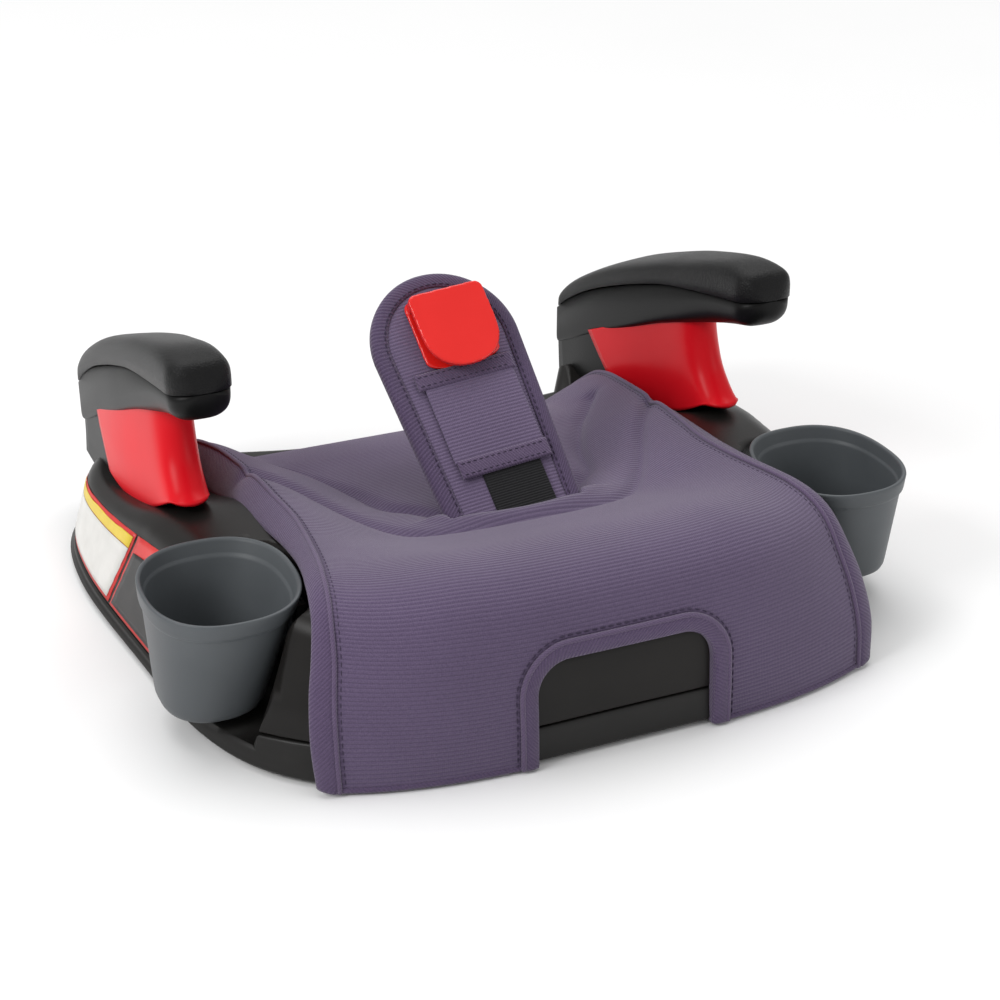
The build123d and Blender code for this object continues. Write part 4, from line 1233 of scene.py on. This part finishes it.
# ------------------------------------------------------------------ blank labels on the -X wall
def wall_patch(name, corners, lift, material, rows=14, columns=14):
    """Thin label that follows the leaning wall between four (y, z) corners."""
    (a, b, c, d) = [np.array(p, float) for p in corners]
    left = np.arange(RING)[RINGS[40][0][:, 0] < 0]
    verts = []
    for r in range(rows):
        for k in range(columns):
            s, t = k / (columns - 1), r / (rows - 1)
            y, z = (a * (1 - s) + b * s) * (1 - t) + (d * (1 - s) + c * s) * t
            ring = RINGS[int(round(np.clip(z, 0, 100)))][0]
            side = [i for i in left if ring[i, 0] < -120]
            ordered = sorted(side, key=lambda i: ring[i, 1])
            ys = [ring[i, 1] for i in ordered]
            x = np.interp(y, ys, [ring[i, 0] for i in ordered]) - WALL_SWELL
            verts.append((x, y, z))
    points = np.array(verts).reshape(rows, columns, 3)
    facing = grid_normals(points)
    facing *= np.sign(-facing[..., :1])
    sheet = solid_sheet(name, points + facing * lift, facing, 0.25, material,
                        [(0.0, 0.0)] * (rows * columns))
    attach(sheet, "seat")
    return sheet


for name, corners, lift, material in (
        ("label_rear_border", [(157, 12), (40, 12), (28, 60), (157, 43)], 0.25, LABEL_RED),
        ("label_rear_field", [(155, 14), (43, 14), (33, 49), (155, 36)], 0.8, LABEL_WHITE),
        ("label_rear_header", [(155, 36.5), (33, 49.5), (31, 57), (155, 41.5)], 0.8, LABEL_YELLOW),
        ("label_front_border", [(37, 12), (-34, 12), (-38, 70), (25, 60.5)], 0.25, LABEL_RED),
        ("label_front_field", [(34.5, 14), (-31.5, 14), (-35.5, 60), (24.5, 50)], 0.8, LABEL_BLACK)):
    wall_patch(name, corners, lift, material)


# ------------------------------------------------------------------ hidden and fixed CAD pieces
CAD_FINISH = {"rubber_feet": RUBBER, "shell_screws": STEEL, "armrest_screws": STEEL, "strap_anchor": STEEL,
              "anchor_pin": STEEL, "anchor_webbing": WEBBING, "strap_stiffener": TRAY,
              "cup_bracket_left": TRAY, "cup_bracket_right": TRAY}
for node, material in CAD_FINISH.items():
    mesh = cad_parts[node].data
    mesh.materials.clear()
    mesh.materials.append(material)


# ------------------------------------------------------------------ studio
floor_mesh = bpy.data.meshes.new("floor")
floor_mesh.from_pydata([(-6, -6, 0), (6, -6, 0), (6, 6, 0), (-6, 6, 0)], [], [(0, 1, 2, 3)])
floor = bpy.data.objects.new("floor", floor_mesh)
bpy.context.scene.collection.objects.link(floor)
floor_material, floor_tree, floor_shader = new_material("paper_floor")
floor_body = coordinates(floor_tree, "Object")
floor_colour = ramp(floor_tree, noise(floor_tree, floor_body, 3, 2.0), (0.9, 0.9, 0.9), (0.93, 0.93, 0.93))
floor_tree.links.new(floor_colour, floor_shader.inputs["Base Color"])
floor_shader.inputs["Roughness"].default_value = 0.9
floor_shader.inputs["Specular IOR Level"].default_value = 0.0
floor_mesh.materials.append(floor_material)

world = bpy.data.worlds.new("studio")
world.use_nodes = True
world.node_tree.nodes["Background"].inputs["Color"].default_value = (1, 1, 1, 1)
world.node_tree.nodes["Background"].inputs["Strength"].default_value = 0.5
bpy.context.scene.world = world


def area_light(name, place, target, size, power):
    """Soft rectangular studio light aimed at a point."""
    data = bpy.data.lights.new(name, "AREA")
    data.energy = power
    data.shape = "RECTANGLE"
    data.size, data.size_y = size
    lamp = bpy.data.objects.new(name, data)
    lamp.location = place
    lamp.rotation_euler = (Vector(target) - Vector(place)).to_track_quat("-Z", "Y").to_euler()
    bpy.context.scene.collection.objects.link(lamp)
    return lamp


area_light("key", (-1.9, -0.4, 1.5), (0, 0, 0.08), (0.9, 0.9), 22)
sun_data = bpy.data.lights.new("soft_top", "SUN")
sun_data.energy = 1.7
sun_data.angle = math.radians(60)
sun = bpy.data.objects.new("soft_top", sun_data)
sun.rotation_euler = Vector((0.12, 0.45, 1.0)).to_track_quat("Z", "Y").to_euler()
bpy.context.scene.collection.objects.link(sun)
area_light("fill", (1.3, -1.2, 0.9), (0, 0, 0.08), (1.0, 0.8), 3)

camera_data = bpy.data.cameras.new("camera")
camera_data.lens = 71.0
camera_data.sensor_width = 36
camera_data.clip_end = 30
camera = bpy.data.objects.new("camera", camera_data)
target = Vector((0, -0.0335, 0.0703))
azimuth, elevation, distance = math.radians(-23.642), math.radians(27.0), 1.199
back_vector = Vector((math.sin(azimuth) * math.cos(elevation), -math.cos(azimuth) * math.cos(elevation),
                      math.sin(elevation)))
camera.location = target + back_vector * distance
turned = back_vector.to_track_quat("Z", "Y").to_matrix() @ Matrix.Rotation(math.radians(0.26), 3, "Z")
camera.rotation_euler = turned.to_euler()
bpy.context.scene.collection.objects.link(camera)
bpy.context.scene.camera = camera
bpy.context.scene.view_settings.view_transform = "Standard"
